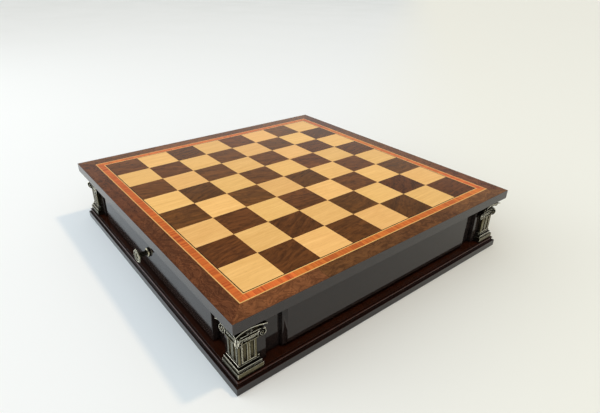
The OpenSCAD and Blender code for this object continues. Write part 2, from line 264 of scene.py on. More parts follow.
def to_mesh(bm, name, outward=True):
    if outward:
        bmesh.ops.recalc_face_normals(bm, faces=bm.faces)
    mesh = bpy.data.meshes.new(name)
    bm.to_mesh(mesh)
    bm.free()
    return mesh


def drawn(name, shape, *given):
    """The mesh that one of the shape functions draws."""
    bm = bmesh.new()
    shape(bm, *given)
    return to_mesh(bm, name)


def joined(name, meshes):
    """One mesh of several, which are then removed."""
    bm = bmesh.new()
    for mesh in meshes:
        bm.from_mesh(mesh)
        bpy.data.meshes.remove(mesh)
    return to_mesh(bm, name, outward=False)


def copied(mesh, matrix):
    """A copy of a mesh put in another place, with its faces kept outward."""
    bm = bmesh.new()
    bm.from_mesh(mesh)
    bm.transform(matrix)
    if matrix.determinant() < 0:
        bmesh.ops.reverse_faces(bm, faces=bm.faces)
    return to_mesh(bm, mesh.name, outward=False)


def quarter(turns):
    return Matrix.Rotation(math.radians(90 * turns), 4, "Z")


# Swaps the right-hand face for the back one.
OTHER_FACE = Matrix(((0, 1, 0, 0), (1, 0, 0, 0), (0, 0, 1, 0), (0, 0, 0, 1)))


def evaluated(holder):
    """The mesh of an object with its modifiers carried out."""
    mesh = bpy.data.meshes.new_from_object(holder.evaluated_get(bpy.context.evaluated_depsgraph_get()))
    holder.modifiers.clear()
    return mesh


def linked(name, data):
    made = bpy.data.objects.new(name, data)
    bpy.context.scene.collection.objects.link(made)
    return made


def keep_flat(made):
    """Weighs the normals by area, so that flat faces stay flat beside their rounded edges."""
    made.modifiers.new("Weighing", "WEIGHTED_NORMAL").keep_sharp = True
    plain = made.data
    made.data = evaluated(made)
    name = plain.name
    bpy.data.meshes.remove(plain)
    made.data.name = name


def piece(name, mesh, material, body, nodes, crease=35):
    """Places a finished mesh in the scene as a piece that rides on a body."""
    mesh.name = name
    if material.name not in mesh.materials:
        mesh.materials.clear()
        mesh.materials.append(material)
    mesh.polygons.foreach_set("use_smooth", [True] * len(mesh.polygons))
    mesh.set_sharp_from_angle(angle=math.radians(crease))
    made = linked(name, mesh)
    keep_flat(made)
    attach(made, body)
    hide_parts(*nodes)
    return made


def paint(nodes, finish):
    """Gives frame nodes their material."""
    for name in nodes:
        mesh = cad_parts[name].data
        mesh.materials.clear()
        mesh.materials.append(stuff(finish))


def stuff(finish):
    return bpy.data.materials[f"{finish}_finish"]


# ---- Node trees ----


class Wiring:
    """Short ways to place and join nodes in one tree."""

    def __init__(self, tree):
        self.tree = tree

    def place(self, kind, fed=(), **settings):
        made = self.tree.nodes.new(kind)
        for key, value in settings.items():
            setattr(made, key, value)
        for socket, value in dict(fed).items():
            self.feed(made.inputs[socket], value)
        return made

    def feed(self, socket, value):
        if isinstance(value, bpy.types.NodeSocket):
            self.tree.links.new(value, socket)
        else:
            socket.default_value = value

    def math(self, operation, first, second=0.0, third=0.0):
        return self.place("ShaderNodeMath", {0: first, 1: second, 2: third}, operation=operation).outputs[0]

    def vector(self, operation, first, second=(0, 0, 0)):
        second_socket = 3 if operation == "SCALE" else 1
        made = self.place("ShaderNodeVectorMath", {0: first, second_socket: second}, operation=operation)
        return made.outputs[1] if operation in ("LENGTH", "DOT_PRODUCT") else made.outputs[0]

    def apart(self, vector):
        return self.place("ShaderNodeSeparateXYZ", {0: vector}).outputs

    def together(self, x, y, z=0.0):
        return self.place("ShaderNodeCombineXYZ", {0: x, 1: y, 2: z}).outputs[0]

    def turned(self, vector, angle):
        fed = {"Vector": vector, "Angle": angle}
        return self.place("ShaderNodeVectorRotate", fed, rotation_type="Z_AXIS").outputs[0]

    def mix(self, share, first, second):
        return self.place("ShaderNodeMix", {0: share, 6: first, 7: second}, data_type="RGBA").outputs[2]

    def choice(self, share, first, second):
        return self.place("ShaderNodeMix", {0: share, 2: first, 3: second}, data_type="FLOAT").outputs[0]

    def layers(self, coloured, *coats):
        """Lays coats over a colour, in order: each has a mask, how much of it shows, and its colour."""
        for mask, share, coat in coats:
            coloured = self.mix(self.math("MULTIPLY", mask, share), coloured, coat)
        return coloured

    def retoned(self, coloured, **fed):
        return self.place("ShaderNodeHueSaturation", {"Color": coloured, **fed}).outputs[0]

    def spread(self, value, low, high, to_low=0.0, to_high=1.0, smooth=False):
        made = self.place("ShaderNodeMapRange", {0: value, 1: low, 2: high, 3: to_low, 4: to_high})
        if smooth:
            made.interpolation_type = "SMOOTHSTEP"
        return made.outputs[0]

    def noise(self, vector, scale, detail=3.0, roughness=0.5, distortion=0.0, w=0.0):
        fed = {"Vector": vector, "W": w, "Scale": scale, "Detail": detail, "Roughness": roughness,
               "Distortion": distortion}
        return self.place("ShaderNodeTexNoise", fed, noise_dimensions="4D").outputs

    def chance(self, number):
        return self.place("ShaderNodeTexWhiteNoise", {"W": number}, noise_dimensions="1D").outputs[0]

    def effect(self, name, **fed):
        """Places one of the shared effects. Underscores in its inputs' names stand for spaces."""
        made = self.place("ShaderNodeGroup", node_tree=bpy.data.node_groups[name])
        for label, value in fed.items():
            self.feed(made.inputs[label.replace("_", " ")], value)
        return made.outputs


class Repeat(Wiring):
    """A geometry node tree that repeats the shape it is given, and gives it a material."""

    def __init__(self, name, **takes):
        super().__init__(bpy.data.node_groups.new(name, "GeometryNodeTree"))
        add = self.tree.interface.new_socket
        for label, kind in {"Geometry": "Geometry", **takes, "Material": "Material"}.items():
            add(label, in_out="INPUT", socket_type=f"NodeSocket{kind}")
        add("Geometry", in_out="OUTPUT", socket_type="NodeSocketGeometry")
        self.given = self.place("NodeGroupInput").outputs

    def instances(self, points, **fed):
        fed = {"Points": points, "Instance": self.given["Geometry"], **fed}
        return self.place("GeometryNodeInstanceOnPoints", fed).outputs[0]

    def close(self, instances):
        """Ends the tree: instances become mesh and get their material."""
        real = self.place("GeometryNodeRealizeInstances", {"Geometry": instances}).outputs[0]
        dressed = self.place("GeometryNodeSetMaterial", {"Geometry": real, "Material": self.given["Material"]})
        self.place("NodeGroupOutput", {"Geometry": dressed.outputs[0]})
        return self.tree


def row_tree():
    """Repeats a shape along a straight line."""
    w = Repeat("Row", Count="Int", Start="Vector", Step="Vector")
    fed = {"Count": w.given["Count"], "Start Location": w.given["Start"], "Offset": w.given["Step"]}
    return w.close(w.instances(w.place("GeometryNodeMeshLine", fed, mode="OFFSET").outputs[0]))


def ring_tree():
    """Repeats a shape round a ring, turned to point away from its middle."""
    w = Repeat("Ring", Count="Int", Radius="Float")
    circle = w.place("GeometryNodeMeshCircle", {"Vertices": w.given["Count"], "Radius": w.given["Radius"]})
    place = w.place("GeometryNodeInputPosition").outputs[0]
    outwards = w.place("FunctionNodeAlignRotationToVector", {"Vector": place}, axis="X", pivot_axis="Z")
    return w.close(w.instances(circle.outputs[0], Rotation=outwards.outputs[0]))


def chequer_tree():
    """Lays every second square of a chessboard, and gives each leaf a number of its own."""
    w = Repeat("Chequer", Squares="Int", Size="Float", First="Int", Seed="Int")
    squares, size = w.given["Squares"], w.given["Size"]
    span = w.math("MULTIPLY", w.math("SUBTRACT", squares, 1.0), size)
    grid = {"Size X": span, "Size Y": span, "Vertices X": squares, "Vertices Y": squares}
    place = w.apart(w.place("GeometryNodeInputPosition").outputs[0])
    from_corner = w.math("DIVIDE", w.math("ADD", w.math("ADD", place[0], place[1]), span), size)
    parity = w.math("MODULO", w.math("ADD", w.math("ROUND", from_corner), w.given["First"]), 2.0)
    leaves = w.instances(w.place("GeometryNodeMeshGrid", grid).outputs[0], Selection=w.math("LESS_THAN", parity, 0.5))
    chance = w.place("FunctionNodeRandomValue", {"Seed": w.given["Seed"]}, data_type="FLOAT").outputs[1]
    numbered = w.place(
        "GeometryNodeStoreNamedAttribute", {"Geometry": leaves, "Name": "leaf", "Value": chance}, data_type="FLOAT",
        domain="INSTANCE"
    )
    return w.close(numbered.outputs[0])


def run_tree(tree, mesh, finish, **values):
    """The mesh that a tree makes from a unit mesh."""
    holder = linked("tree_holder", mesh)
    modifier = holder.modifiers.new("Tree", "NODES")
    modifier.node_group = tree
    wanted = {"Material": stuff(finish), **values}
    for item in tree.interface.items_tree:
        if item.in_out == "INPUT" and item.name in wanted:
            modifier[item.identifier] = wanted.pop(item.name)
    if wanted:
        raise RuntimeError(f"the tree {tree.name} has no input named {sorted(wanted)}")
    made = evaluated(holder)
    bpy.data.objects.remove(holder)
    bpy.data.meshes.remove(mesh)
    return made


# ---- Shared effects ----


def new_effect(name, takes, gives):
    """A shader node group with named inputs and outputs: its wiring, what it is given and what it gives."""
    tree = bpy.data.node_groups.new(name, "ShaderNodeTree")
    for way, labels in (("INPUT", takes), ("OUTPUT", gives)):
        for label in labels:
            kind = "NodeSocketVector" if label == "Vector" else "NodeSocketFloat"
            socket = tree.interface.new_socket(label, in_out=way, socket_type=kind)
            if way == "INPUT" and label != "Vector":
                socket.default_value = takes[label]
    w = Wiring(tree)
    return w, w.place("NodeGroupInput").outputs, w.place("NodeGroupOutput").inputs


def make_grain_effect():
    """Straight grain that runs along X: broad growth bands, fine fibres and short pores."""
    takes = {"Vector": None, "Leaf": 0.0, "Bands": 120.0, "Bend": 0.004}
    w, given, gives = new_effect("Wood grain", takes, ("Growth", "Streaks", "Fibre", "Pores"))
    shift = w.math("MULTIPLY", given["Leaf"], GRAIN_SHIFT)
    sway = w.noise(w.vector("MULTIPLY", given["Vector"], (9, 26, 26)), 1.0, 2.0, 0.5, w=shift)[0]
    sway = w.math("MULTIPLY", w.math("SUBTRACT", sway, 0.5), given["Bend"])
    swayed = w.vector("ADD", given["Vector"], w.together(0.0, sway, sway))
    # How far each kind of mark is drawn out along the grain, its scale, detail and roughness, and what of it shows.
    marks = {
        "Growth": (0.035, given["Bands"], 3.0, 0.55, 0.3, 0.7),
        "Streaks": (0.022, 430.0, 3.0, 0.62, 0.36, 0.64),
        "Fibre": (0.03, 1500.0, 2.0, 0.6, 0.25, 0.75),
        "Pores": (0.075, 2100.0, 1.0, 0.5, 0.62, 0.74),
    }
    for mark, (drawn_out, scale, detail, roughness, low, high) in marks.items():
        noise = w.noise(w.vector("MULTIPLY", swayed, (drawn_out, 1, 1)), scale, detail, roughness, w=shift)
        w.feed(gives[mark], w.spread(noise[0], low, high, smooth=mark == "Growth"))


def make_figure_effect():
    """Curly figure of crotch and burl walnut: dark wisps that flow round eyes."""
    takes = {"Vector": None, "Leaf": 0.0, "Scale": 26.0, "Curl": 0.035}
    w, given, gives = new_effect("Burl figure", takes, ("Wisps", "Lines", "Clouds", "Eyes"))
    shift = w.math("MULTIPLY", given["Leaf"], FIGURE_SHIFT)
    flow = w.noise(given["Vector"], given["Scale"], 2.0, 0.5, w=shift)[1]
    flow = w.vector("SCALE", w.vector("SUBTRACT", flow, (0.5, 0.5, 0.5)), given["Curl"])
    bent = w.vector("ADD", given["Vector"], flow)
    wisps = w.noise(w.vector("MULTIPLY", bent, (0.3, 1, 1)), 210.0, 4.0, 0.62, w=shift)[0]
    w.feed(gives["Wisps"], w.spread(wisps, 0.40, 0.66, smooth=True))
    ridge = w.noise(w.vector("MULTIPLY", bent, (0.5, 1, 1)), 120.0, 3.0, 0.6, 1.3, w=shift)[0]
    ridge = w.math("ABSOLUTE", w.math("SUBTRACT", ridge, 0.5))
    w.feed(gives["Lines"], w.spread(ridge, 0.004, 0.045, 1.0, 0.0, smooth=True))
    clouds = w.noise(bent, 42.0, 2.0, 0.5, w=shift)[0]
    w.feed(gives["Clouds"], w.spread(clouds, 0.3, 0.7, smooth=True))
    cells = w.place("ShaderNodeTexVoronoi", {"Vector": bent, "W": shift, "Scale": 95.0}, voronoi_dimensions="4D")
    w.feed(gives["Eyes"], w.spread(cells.outputs[0], 0.05, 0.22, 1.0, 0.0, smooth=True))


def make_mitre_effect():
    """Turns a pattern to run along each side of a square frame, cut into leaves that mirror each other."""
    takes = {"Vector": None, "Leaf Length": 0.05}
    w, given, gives = new_effect("Mitred leaves", takes, ("Vector", "Leaf", "Side", "Seam"))
    x, y, z = w.apart(given["Vector"])
    on_x = w.math("GREATER_THAN", w.math("ABSOLUTE", x), w.math("ABSOLUTE", y))
    along, across = w.choice(on_x, x, y), w.choice(on_x, y, x)
    side = w.math("ADD", w.math("MULTIPLY", on_x, 2.0), w.math("GREATER_THAN", across, 0.0))
    leaf_number = w.math("FLOOR", w.math("DIVIDE", along, given["Leaf Length"]))
    pair = w.math("FLOOR", w.math("MULTIPLY", leaf_number, 0.5))
    pair = w.math("ADD", pair, w.math("MULTIPLY", side, SIDE_SHIFT))
    mirrored = w.math("PINGPONG", along, given["Leaf Length"])
    to_seam = w.math("PINGPONG", along, w.math("MULTIPLY", given["Leaf Length"], 0.5))
    w.feed(gives["Vector"], w.together(mirrored, w.math("ABSOLUTE", across), z))
    w.feed(gives["Leaf"], w.chance(w.math("ADD", pair, LEAF_SEED)))
    w.feed(gives["Side"], side)
    w.feed(gives["Seam"], w.spread(to_seam, 0.0, 0.00025, 1.0, 0.0))


def make_wear_and_shade_effect():
    """Finds hollows, which give the brass its dark oxide and elsewhere give painted shade, and edges, which hands rub
    bright.
    """
    w, given, gives = new_effect("Wear and shade", {"Reach": 0.002}, ("Hollow", "Edge"))
    # Hollow darkens enclosed spots where less light reaches: painted shade, and dark oxide on the brass.
    for kind, low, inwards in (("Hollow", 0.45, {}), ("Edge", 0.55, {"inside": True, "only_local": True})):
        shade = w.place("ShaderNodeAmbientOcclusion", {"Distance": given["Reach"]}, samples=6, **inwards)
        w.feed(gives[kind], w.spread(shade.outputs[1], low, 0.95, 1.0, 0.0))


def make_handling_effect():
    """Faint smears and dust that change the gloss from place to place."""
    w, given, gives = new_effect("Handling", {"Vector": None}, ("Smears", "Dust", "Ripple"))
    w.feed(gives["Smears"], w.spread(w.noise(given["Vector"], 14.0, 4.0, 0.6, 1.2)[0], 0.35, 0.7, smooth=True))
    w.feed(gives["Dust"], w.spread(w.noise(given["Vector"], 1400.0, 1.0, 0.5)[0], 0.68, 0.80))
    w.feed(gives["Ripple"], w.noise(given["Vector"], 260.0, 2.0, 0.5)[0])


# ---- Finishes ----


class Finish(Wiring):
    """The nodes of a new material. plain gives the constants on its shader's own sockets."""

    def __init__(self, name, **plain):
        self.material = bpy.data.materials.new(f"{name}_finish")
        self.material.use_nodes = True
        super().__init__(self.material.node_tree)
        self.sockets = self.tree.nodes["Principled BSDF"].inputs
        for label, value in plain.items():
            self.sockets[label.replace("_", " ")].default_value = value
        self.where = self.place("ShaderNodeTexCoord").outputs["Object"]

    def end(self, coloured, roughness, height=None, relief=0.0, strength=1.0, metallic=0.0):
        self.feed(self.sockets["Base Color"], coloured)
        self.feed(self.sockets["Roughness"], roughness)
        self.feed(self.sockets["Metallic"], metallic)
        if height is not None:
            bump = self.place("ShaderNodeBump", {"Strength": strength, "Distance": relief, "Height": height})
            self.feed(self.sockets["Normal"], bump.outputs[0])

    def end_veneer(self, coloured, grain):
        """Ends a veneer under clear lacquer, which smears dull from place to place."""
        smears = self.effect("Handling", Vector=self.where)["Smears"]
        self.end(coloured, self.spread(smears, 0.0, 1.0, *VENEER_GLOSS), grain["Fibre"], 0.00001, 0.25)

    def leaf_tone(self, leaf, coloured, hue, least, most):
        """Gives each leaf of veneer its own tone and hue."""
        tone = self.chance(self.math("MULTIPLY_ADD", leaf, TONE_SHIFT, TONE_SEED))
        return self.retoned(coloured, Hue=self.spread(tone, 0.0, 1.0, 0.5 - hue, 0.5 + hue),
                            Value=self.spread(leaf, 0.0, 1.0, least, most))


def shade_of(base, red, green=None, blue=None):
    """A colour made lighter or darker, channel by channel."""
    green = red if green is None else green
    blue = green if blue is None else blue
    return (base[0] * red, base[1] * green, base[2] * blue, 1)


def lacquer(name, base, lighter, gloss, haze=0.0, ior=1.44, foot=None):
    """Opaque dark lacquer over wood: a trace of the grain shows, edges are thinner, smears dull it, and painted shade
    darkens its recesses.

    lighter gives how much lighter the grain is, and foot is the paint on the plain face of the base."""
    w = Finish(name, IOR=ior, Sheen_Weight=haze, Sheen_Roughness=0.4)
    grain_colour = shade_of(base, *lighter)
    grain = w.effect("Wood grain", Vector=w.where, Bands=150.0, Bend=0.006)
    marks = w.effect("Handling", Vector=w.where)
    coloured = w.layers(
        base,
        (grain["Growth"], 0.55, grain_colour),
        (w.effect("Wear and shade", Reach=0.0008)["Edge"], 0.16, shade_of(grain_colour, 2.8, 2.6, 2.5)),
        (marks["Dust"], 0.025, (0.30, 0.29, 0.27, 1)),
    )
    if foot is not None:
        height = w.apart(w.where)[2]
        below = w.spread(height, PLAIN_FACE_TOP - 0.2 * MM, PLAIN_FACE_TOP + 0.2 * MM, 1.0, 0.0)
        coloured = w.mix(below, coloured, foot)
    # Painted shade: the lacquer goes nearly black where the surface is enclosed.
    coloured = w.layers(coloured, (w.effect("Wear and shade", Reach=0.0035)["Hollow"], 0.85, shade_of(base, 0.2)))
    relief = w.math("ADD", w.math("MULTIPLY", grain["Streaks"], 0.3), w.math("MULTIPLY", marks["Ripple"], 0.5))
    w.end(coloured, w.spread(marks["Smears"], 0.0, 1.0, gloss, gloss + 0.03), relief, 0.00001, 0.1)


def square_veneer(name, base, lighter, darker, turn, wisp, streak, tones):
    """Veneer of the squares: each leaf has its own grain, tone and direction."""
    w = Finish(name, IOR=VENEER_IOR)
    light, dark = shade_of(base, *lighter), shade_of(base, *darker)
    leaf = w.place("ShaderNodeAttribute", attribute_name="leaf").outputs[2]
    angle = w.math("MULTIPLY_ADD", w.math("SUBTRACT", leaf, 0.5), turn, math.radians(90))
    lie = w.turned(w.where, angle)
    grain = w.effect("Wood grain", Vector=lie, Leaf=leaf, Bands=170.0, Bend=0.012)
    figure = w.effect("Burl figure", Vector=lie, Leaf=leaf, Scale=17.0, Curl=0.05)
    coloured = w.layers(
        w.mix(grain["Growth"], light, base),
        (figure["Wisps"], wisp, dark),
        (grain["Streaks"], streak, dark),
        (grain["Fibre"], 0.16, dark),
        (grain["Pores"], 0.35, shade_of(dark, 0.75)),
    )
    w.end_veneer(w.leaf_tone(leaf, coloured, *tones), grain)


def border_veneer(name, base, lighter, darker, leaf_length):
    """Figured veneer in book-matched leaves with mitred corners."""
    w = Finish(name, IOR=VENEER_IOR)
    light, dark = shade_of(base, *lighter), shade_of(base, *darker)
    cut = w.effect("Mitred leaves", Vector=w.where, Leaf_Length=leaf_length)
    figure = w.effect("Burl figure", Vector=cut["Vector"], Leaf=cut["Leaf"], Scale=24.0, Curl=0.06)
    grain = w.effect("Wood grain", Vector=cut["Vector"], Leaf=cut["Leaf"], Bands=140.0, Bend=0.02)
    coloured = w.layers(
        w.mix(figure["Clouds"], light, base),
        (figure["Wisps"], 0.62, dark),
        (figure["Lines"], 0.6, dark),
        (figure["Eyes"], 0.30, shade_of(dark, 1.4, 1.2, 1.1)),
        (grain["Fibre"], 0.18, dark),
        (grain["Pores"], 0.4, shade_of(dark, 0.7)),
        (cut["Seam"], 0.35, dark),
    )
    coloured = w.leaf_tone(cut["Leaf"], coloured, 0.006, 0.80, 1.28)
    coloured = w.retoned(coloured, Hue=w.spread(cut["Side"], 0, 3, 0.5, 0.506),
                         Value=w.spread(cut["Side"], 0, 3, 0.95, 1.14))
    w.end_veneer(coloured, grain)


def strip_veneer(name, light, darker, grain_across, leaf_length, amount):
    """Veneer of the crossband and of the stringing, along or across each strip."""
    w = Finish(name, IOR=VENEER_IOR)
    dark = shade_of(light, *darker)
    cut = w.effect("Mitred leaves", Vector=w.where, Leaf_Length=leaf_length)
    lie = w.turned(cut["Vector"], math.radians(90)) if grain_across else cut["Vector"]
    grain = w.effect("Wood grain", Vector=lie, Leaf=cut["Leaf"], Bands=260.0, Bend=0.006)
    coloured = w.layers(
        light,
        (grain["Growth"], amount, dark),
        (grain["Streaks"], 0.5 * amount, shade_of(light, 1.15, 1.6, 1.5)),
        (grain["Fibre"], 0.35 * amount, dark),
        (grain["Pores"], 0.5 * amount, shade_of(dark, 0.6)),
        (cut["Seam"], 0.4, shade_of(dark, 0.5)),
    )
    coloured = w.leaf_tone(cut["Leaf"], coloured, 0.006, 0.90, 1.10)
    w.end_veneer(w.retoned(coloured, Value=w.spread(cut["Side"], 0, 3, 1.05, 1.15)), grain)


def bare_wood(name, base, turn=0.0, paint_colour=None):
    """Unfinished pale wood, its grain turned from the X axis, with painted shade in its recesses, and painted where it
    stands out of the case.
    """
    w = Finish(name, Specular_IOR_Level=0.3)
    lie = w.place("ShaderNodeMapping", {"Vector": w.where, "Rotation": (0, 0, turn)}).outputs[0]
    grain = w.effect("Wood grain", Vector=lie, Leaf=0.3, Bands=95.0, Bend=0.01)
    coloured = w.layers(
        w.mix(grain["Growth"], shade_of(base, 1.08, 1.08, 1.05), shade_of(base, 0.86, 0.80, 0.72)),
        (grain["Fibre"], 0.22, shade_of(base, 0.66, 0.58, 0.48)),
        (grain["Pores"], 0.3, shade_of(base, 0.45, 0.36, 0.28)),
        # Painted shade where the surface is enclosed.
        (w.effect("Wear and shade", Reach=0.004)["Hollow"], 0.25, shade_of(base, 0.5, 0.42, 0.34)),
    )
    rough = w.spread(grain["Growth"], 0, 1, 0.55, 0.68)
    if paint_colour is not None:
        x, y, _ = w.apart(w.where)
        reach = w.math("MAXIMUM", w.math("ABSOLUTE", x), w.math("ABSOLUTE", y))
        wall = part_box("side_wall_right")[1].x
        painted = w.spread(reach, wall - 0.4 * MM, wall + 0.4 * MM)
        coloured = w.mix(painted, coloured, paint_colour)
        rough = w.spread(painted, 0, 1, rough, 0.32)
    w.end(coloured, rough, w.math("SUBTRACT", grain["Fibre"], grain["Pores"]), 0.00008, 0.5)


def antique_brass(name, bright, middle, oxide_and_shade_colour, neck=None):
    """Cast brass: rubbed bright on its edges, dull on its faces, and nearly black in its hollows with dark oxide and
    painted shade.

    neck gives how far from the box's middle a knob's neck begins and ends; the neck is darkened with painted shade."""
    w = Finish(name)
    x, y, z = w.apart(w.where)
    across, out = w.math("ABSOLUTE", x), w.math("ABSOLUTE", y)
    # The wide reach also takes in the top and the post nearby, so it lays painted shade under the top as well as in
    # deep hollows.
    wide = w.effect("Wear and shade", Reach=0.006)
    fine = w.effect("Wear and shade", Reach=0.0009)
    tarnish = w.noise(w.where, 190.0, 4.0, 0.62)[0]
    casting = w.noise(w.where, 900.0, 3.0, 0.55)[0]
    # Painted shade: a knob's neck behind its disc, or else the flower under the capital's top, is darkened.
    if neck:
        starts = w.spread(out, neck[0], neck[0] + 0.5 * MM)
        painted_shade_spot = w.math("MULTIPLY", starts, w.spread(out, neck[1] - 0.8 * MM, neck[1], 1.0, 0.0))
    else:
        face = w.together(w.math("MAXIMUM", across, out), w.math("MINIMUM", across, out), z)
        from_flower = w.vector("LENGTH", w.vector("SUBTRACT", face, FLOWER))
        painted_shade_spot = w.spread(from_flower, 3.8 * MM, 4.4 * MM, 1.0, 0.0)
    # The dark share adds dark oxide in the hollows to painted shade where light is blocked and on the neck or flower.
    hollow = w.math("ADD", w.math("MULTIPLY", wide["Hollow"], 0.7), w.math("MULTIPLY", fine["Hollow"], 0.7))
    hollow = w.math("ADD", hollow, w.math("MULTIPLY", w.math("SUBTRACT", tarnish, 0.5), 0.35))
    hollow = w.math("ADD", hollow, w.math("MULTIPLY", painted_shade_spot, 0.38))
    oxide_and_shade_share = w.spread(hollow, 0.14, 0.46, smooth=True)
    dull = w.mix(w.spread(tarnish, 0.35, 0.65), shade_of(middle, 0.72, 0.70, 0.62), shade_of(middle, 1.25, 1.22, 1.15))
    rubbed = w.mix(w.spread(fine["Edge"], 0.30, 0.75), dull, bright)
    rough = w.math("ADD", w.spread(oxide_and_shade_share, 0, 1, 0.17, 0.55), w.math("MULTIPLY", casting, 0.06))
    relief = w.math("ADD", w.math("MULTIPLY", casting, 0.6), w.math("MULTIPLY", tarnish, 0.4))
    w.end(w.mix(oxide_and_shade_share, rubbed, oxide_and_shade_colour), rough, relief, 0.00005, 0.5, w.spread(oxide_and_shade_share, 0.2, 1, 1.0, 0.9))


def plain_steel(name):
    """Turned steel of the knob screws, with fine rings round their axis."""
    w = Finish(name)
    x, _, z = w.apart(w.where)
    from_axis = w.vector("LENGTH", w.together(x, w.math("SUBTRACT", z, KNOB_Z)))
    rings_per_metre = 16000.0
    rings = w.math("SINE", w.math("MULTIPLY", from_axis, rings_per_metre))
    spots = w.noise(w.where, 500.0, 3.0)[0]
    coloured = w.mix(spots, (0.50, 0.50, 0.51, 1), (0.62, 0.62, 0.62, 1))
    w.end(coloured, w.math("MULTIPLY_ADD", spots, 0.2, 0.22), rings, 0.00001, 0.4, w.spread(spots, 0, 1, 0.96, 1.0))


def green_felt(name, base):
    """Pressed wool felt: matted fibres, a soft sheen and a slightly uneven dye."""
    w = Finish(name, Sheen_Weight=0.35, Sheen_Roughness=0.5, Specular_IOR_Level=0.15)
    mottle = w.noise(w.where, 60.0, 3.0, 0.6)[0]
    fibres = w.noise(w.where, 2600.0, 3.0, 0.7, 2.5)[0]
    tangled = w.vector("ADD", w.where, w.noise(w.where, 900.0)[1])
    curls = {"Vector": tangled, "Scale": 900.0, "Distortion": 9.0, "Detail": 2.0, "Detail Scale": 2.0}
    curls = w.place("ShaderNodeTexWave", curls, wave_type="BANDS", bands_direction="Y").outputs[1]
    coloured = w.mix(w.spread(mottle, 0.3, 0.7), shade_of(base, 0.8), shade_of(base, 1.22, 1.2, 1.2))
    coloured = w.mix(w.spread(fibres, 0.45, 0.75, 0, 0.6), coloured, shade_of(base, 2.2, 1.9, 2.0))
    relief = w.math("ADD", fibres, w.math("MULTIPLY", curls, 0.5))
    w.end(coloured, w.spread(fibres, 0, 1, 0.9, 1.0), relief, 0.0003, 0.8)


def build_materials(c):
    """All the finishes of the box, from its colours."""
    for make in (make_grain_effect, make_figure_effect, make_mitre_effect, make_wear_and_shade_effect, make_handling_effect):
        make()
    lacquer("black_lacquer", c.black, (1.9, 1.6, 1.4), 0.085, ior=1.40)
    lacquer("front_lacquer", c.black, (1.9, 1.6, 1.4), 0.11)
    lacquer("edging_lacquer", c.black, (2.2, 1.9, 1.7), 0.15, haze=0.1)
    lacquer("moulding_lacquer", c.moulding, (1.9, 1.5, 1.3), 0.05, ior=1.47, foot=shade_of(c.black, 0.9))
    square_veneer("maple_veneer", c.maple, (1.10, 1.13, 1.2), (0.82, 0.72, 0.58), turn=0.16, wisp=0.18, streak=0.42,
                  tones=(0.004, 0.94, 1.08))
    square_veneer("walnut_veneer", c.walnut, (1.7, 1.6, 1.5), (0.42, 0.40, 0.45), turn=1.5, wisp=0.62, streak=0.3,
                  tones=(0.006, 0.76, 1.22))
    border_veneer("burl_veneer", c.burl, (1.35, 1.3, 1.25), (0.34, 0.3, 0.3), 0.0584)
    strip_veneer("padauk_veneer", c.padauk, (0.50, 0.36, 0.5), True, 0.0705, 1.0)
    strip_veneer("dark_line_veneer", c.dark_line, (0.5,), False, 0.2, 0.7)
    strip_veneer("light_line_veneer", c.light_line, (0.8, 0.7, 0.6), False, 0.2, 0.5)
    bare_wood("bare_wood_x", c.carcass)
    bare_wood("bare_wood_y", c.carcass, math.radians(90))
    bare_wood("top_core", c.carcass, paint_colour=shade_of(c.black, 1.2))
    antique_brass("antique_brass", c.bright_brass, c.brass, c.oxide_and_shade_colour)
    neck = (FRONT_FACE + 3.5 * MM, FRONT_FACE + KNOB_OUT - 2.6 * MM)
    antique_brass("knob_brass", c.bright_brass, c.knob_brass, c.oxide_and_shade_colour, neck)
    plain_steel("plain_steel")
    green_felt("green_felt", c.felt)


# ---- Operators ----


class Step:
    """What the operators share: each builds its pieces and then says that it has finished."""

    def execute(self, context):
        self.build(context.scene)
        return {"FINISHED"}


class CHESSBOX_OT_materials(Step, bpy.types.Operator):
    """Builds the finishes of the box"""

    bl_idname = "chessbox.materials"
    bl_label = "Finishes"

    def build(self, scene):
        build_materials(scene.chess_box_colours)


class CHESSBOX_OT_squares(Step, bpy.types.Operator):
    """Lays the light and dark squares of the board"""

    bl_idname = "chessbox.squares"
    bl_label = "Squares"

    def build(self, scene):
        groove = scene.chess_box_case.leaf_groove
        size = FIELD_HALF / 4
        half = size / 2
        levels = ((half, VENEER_UNDER), (half, BOX_TOP - groove), (half - groove * 0.4, BOX_TOP - groove * 0.3),
                  (half - groove, BOX_TOP))
        loops = [[(x * reach, y * reach, z) for x, y in ((-1, -1), (1, -1), (1, 1), (-1, 1))] for reach, z in levels]
        tree = chequer_tree()
        for kind, first, veneer in (("light", 1, "maple_veneer"), ("dark", 0, "walnut_veneer")):
            leaf = drawn("leaf", loft, loops)
            mesh = run_tree(tree, leaf, veneer, Squares=8, Size=size, First=first, Seed=11 + first)
            piece(f"{kind}_leaves", mesh, stuff(veneer), "cabinet", [f"{kind}_squares"], 20)


class CHESSBOX_OT_borders(Step, bpy.types.Operator):
    """Finishes the stringing, the crossband and the burl border"""

    bl_idname = "chessbox.borders"
    bl_label = "Borders"

    def build(self, scene):
        paint(["dark_stringing"], "dark_line_veneer")
        paint(["light_stringing"], "light_line_veneer")
        paint(["crossband"], "padauk_veneer")
        paint(["burl_border"], "burl_veneer")


def mitred_length(bm, profile):
    """One length of a moulding on the right-hand side, with its ends cut just short of the mitre."""
    gap = 0.05 * MM
    loft(bm, [[(x, end * (x - gap), z) for x, z in profile] for end in (-1, 1)])


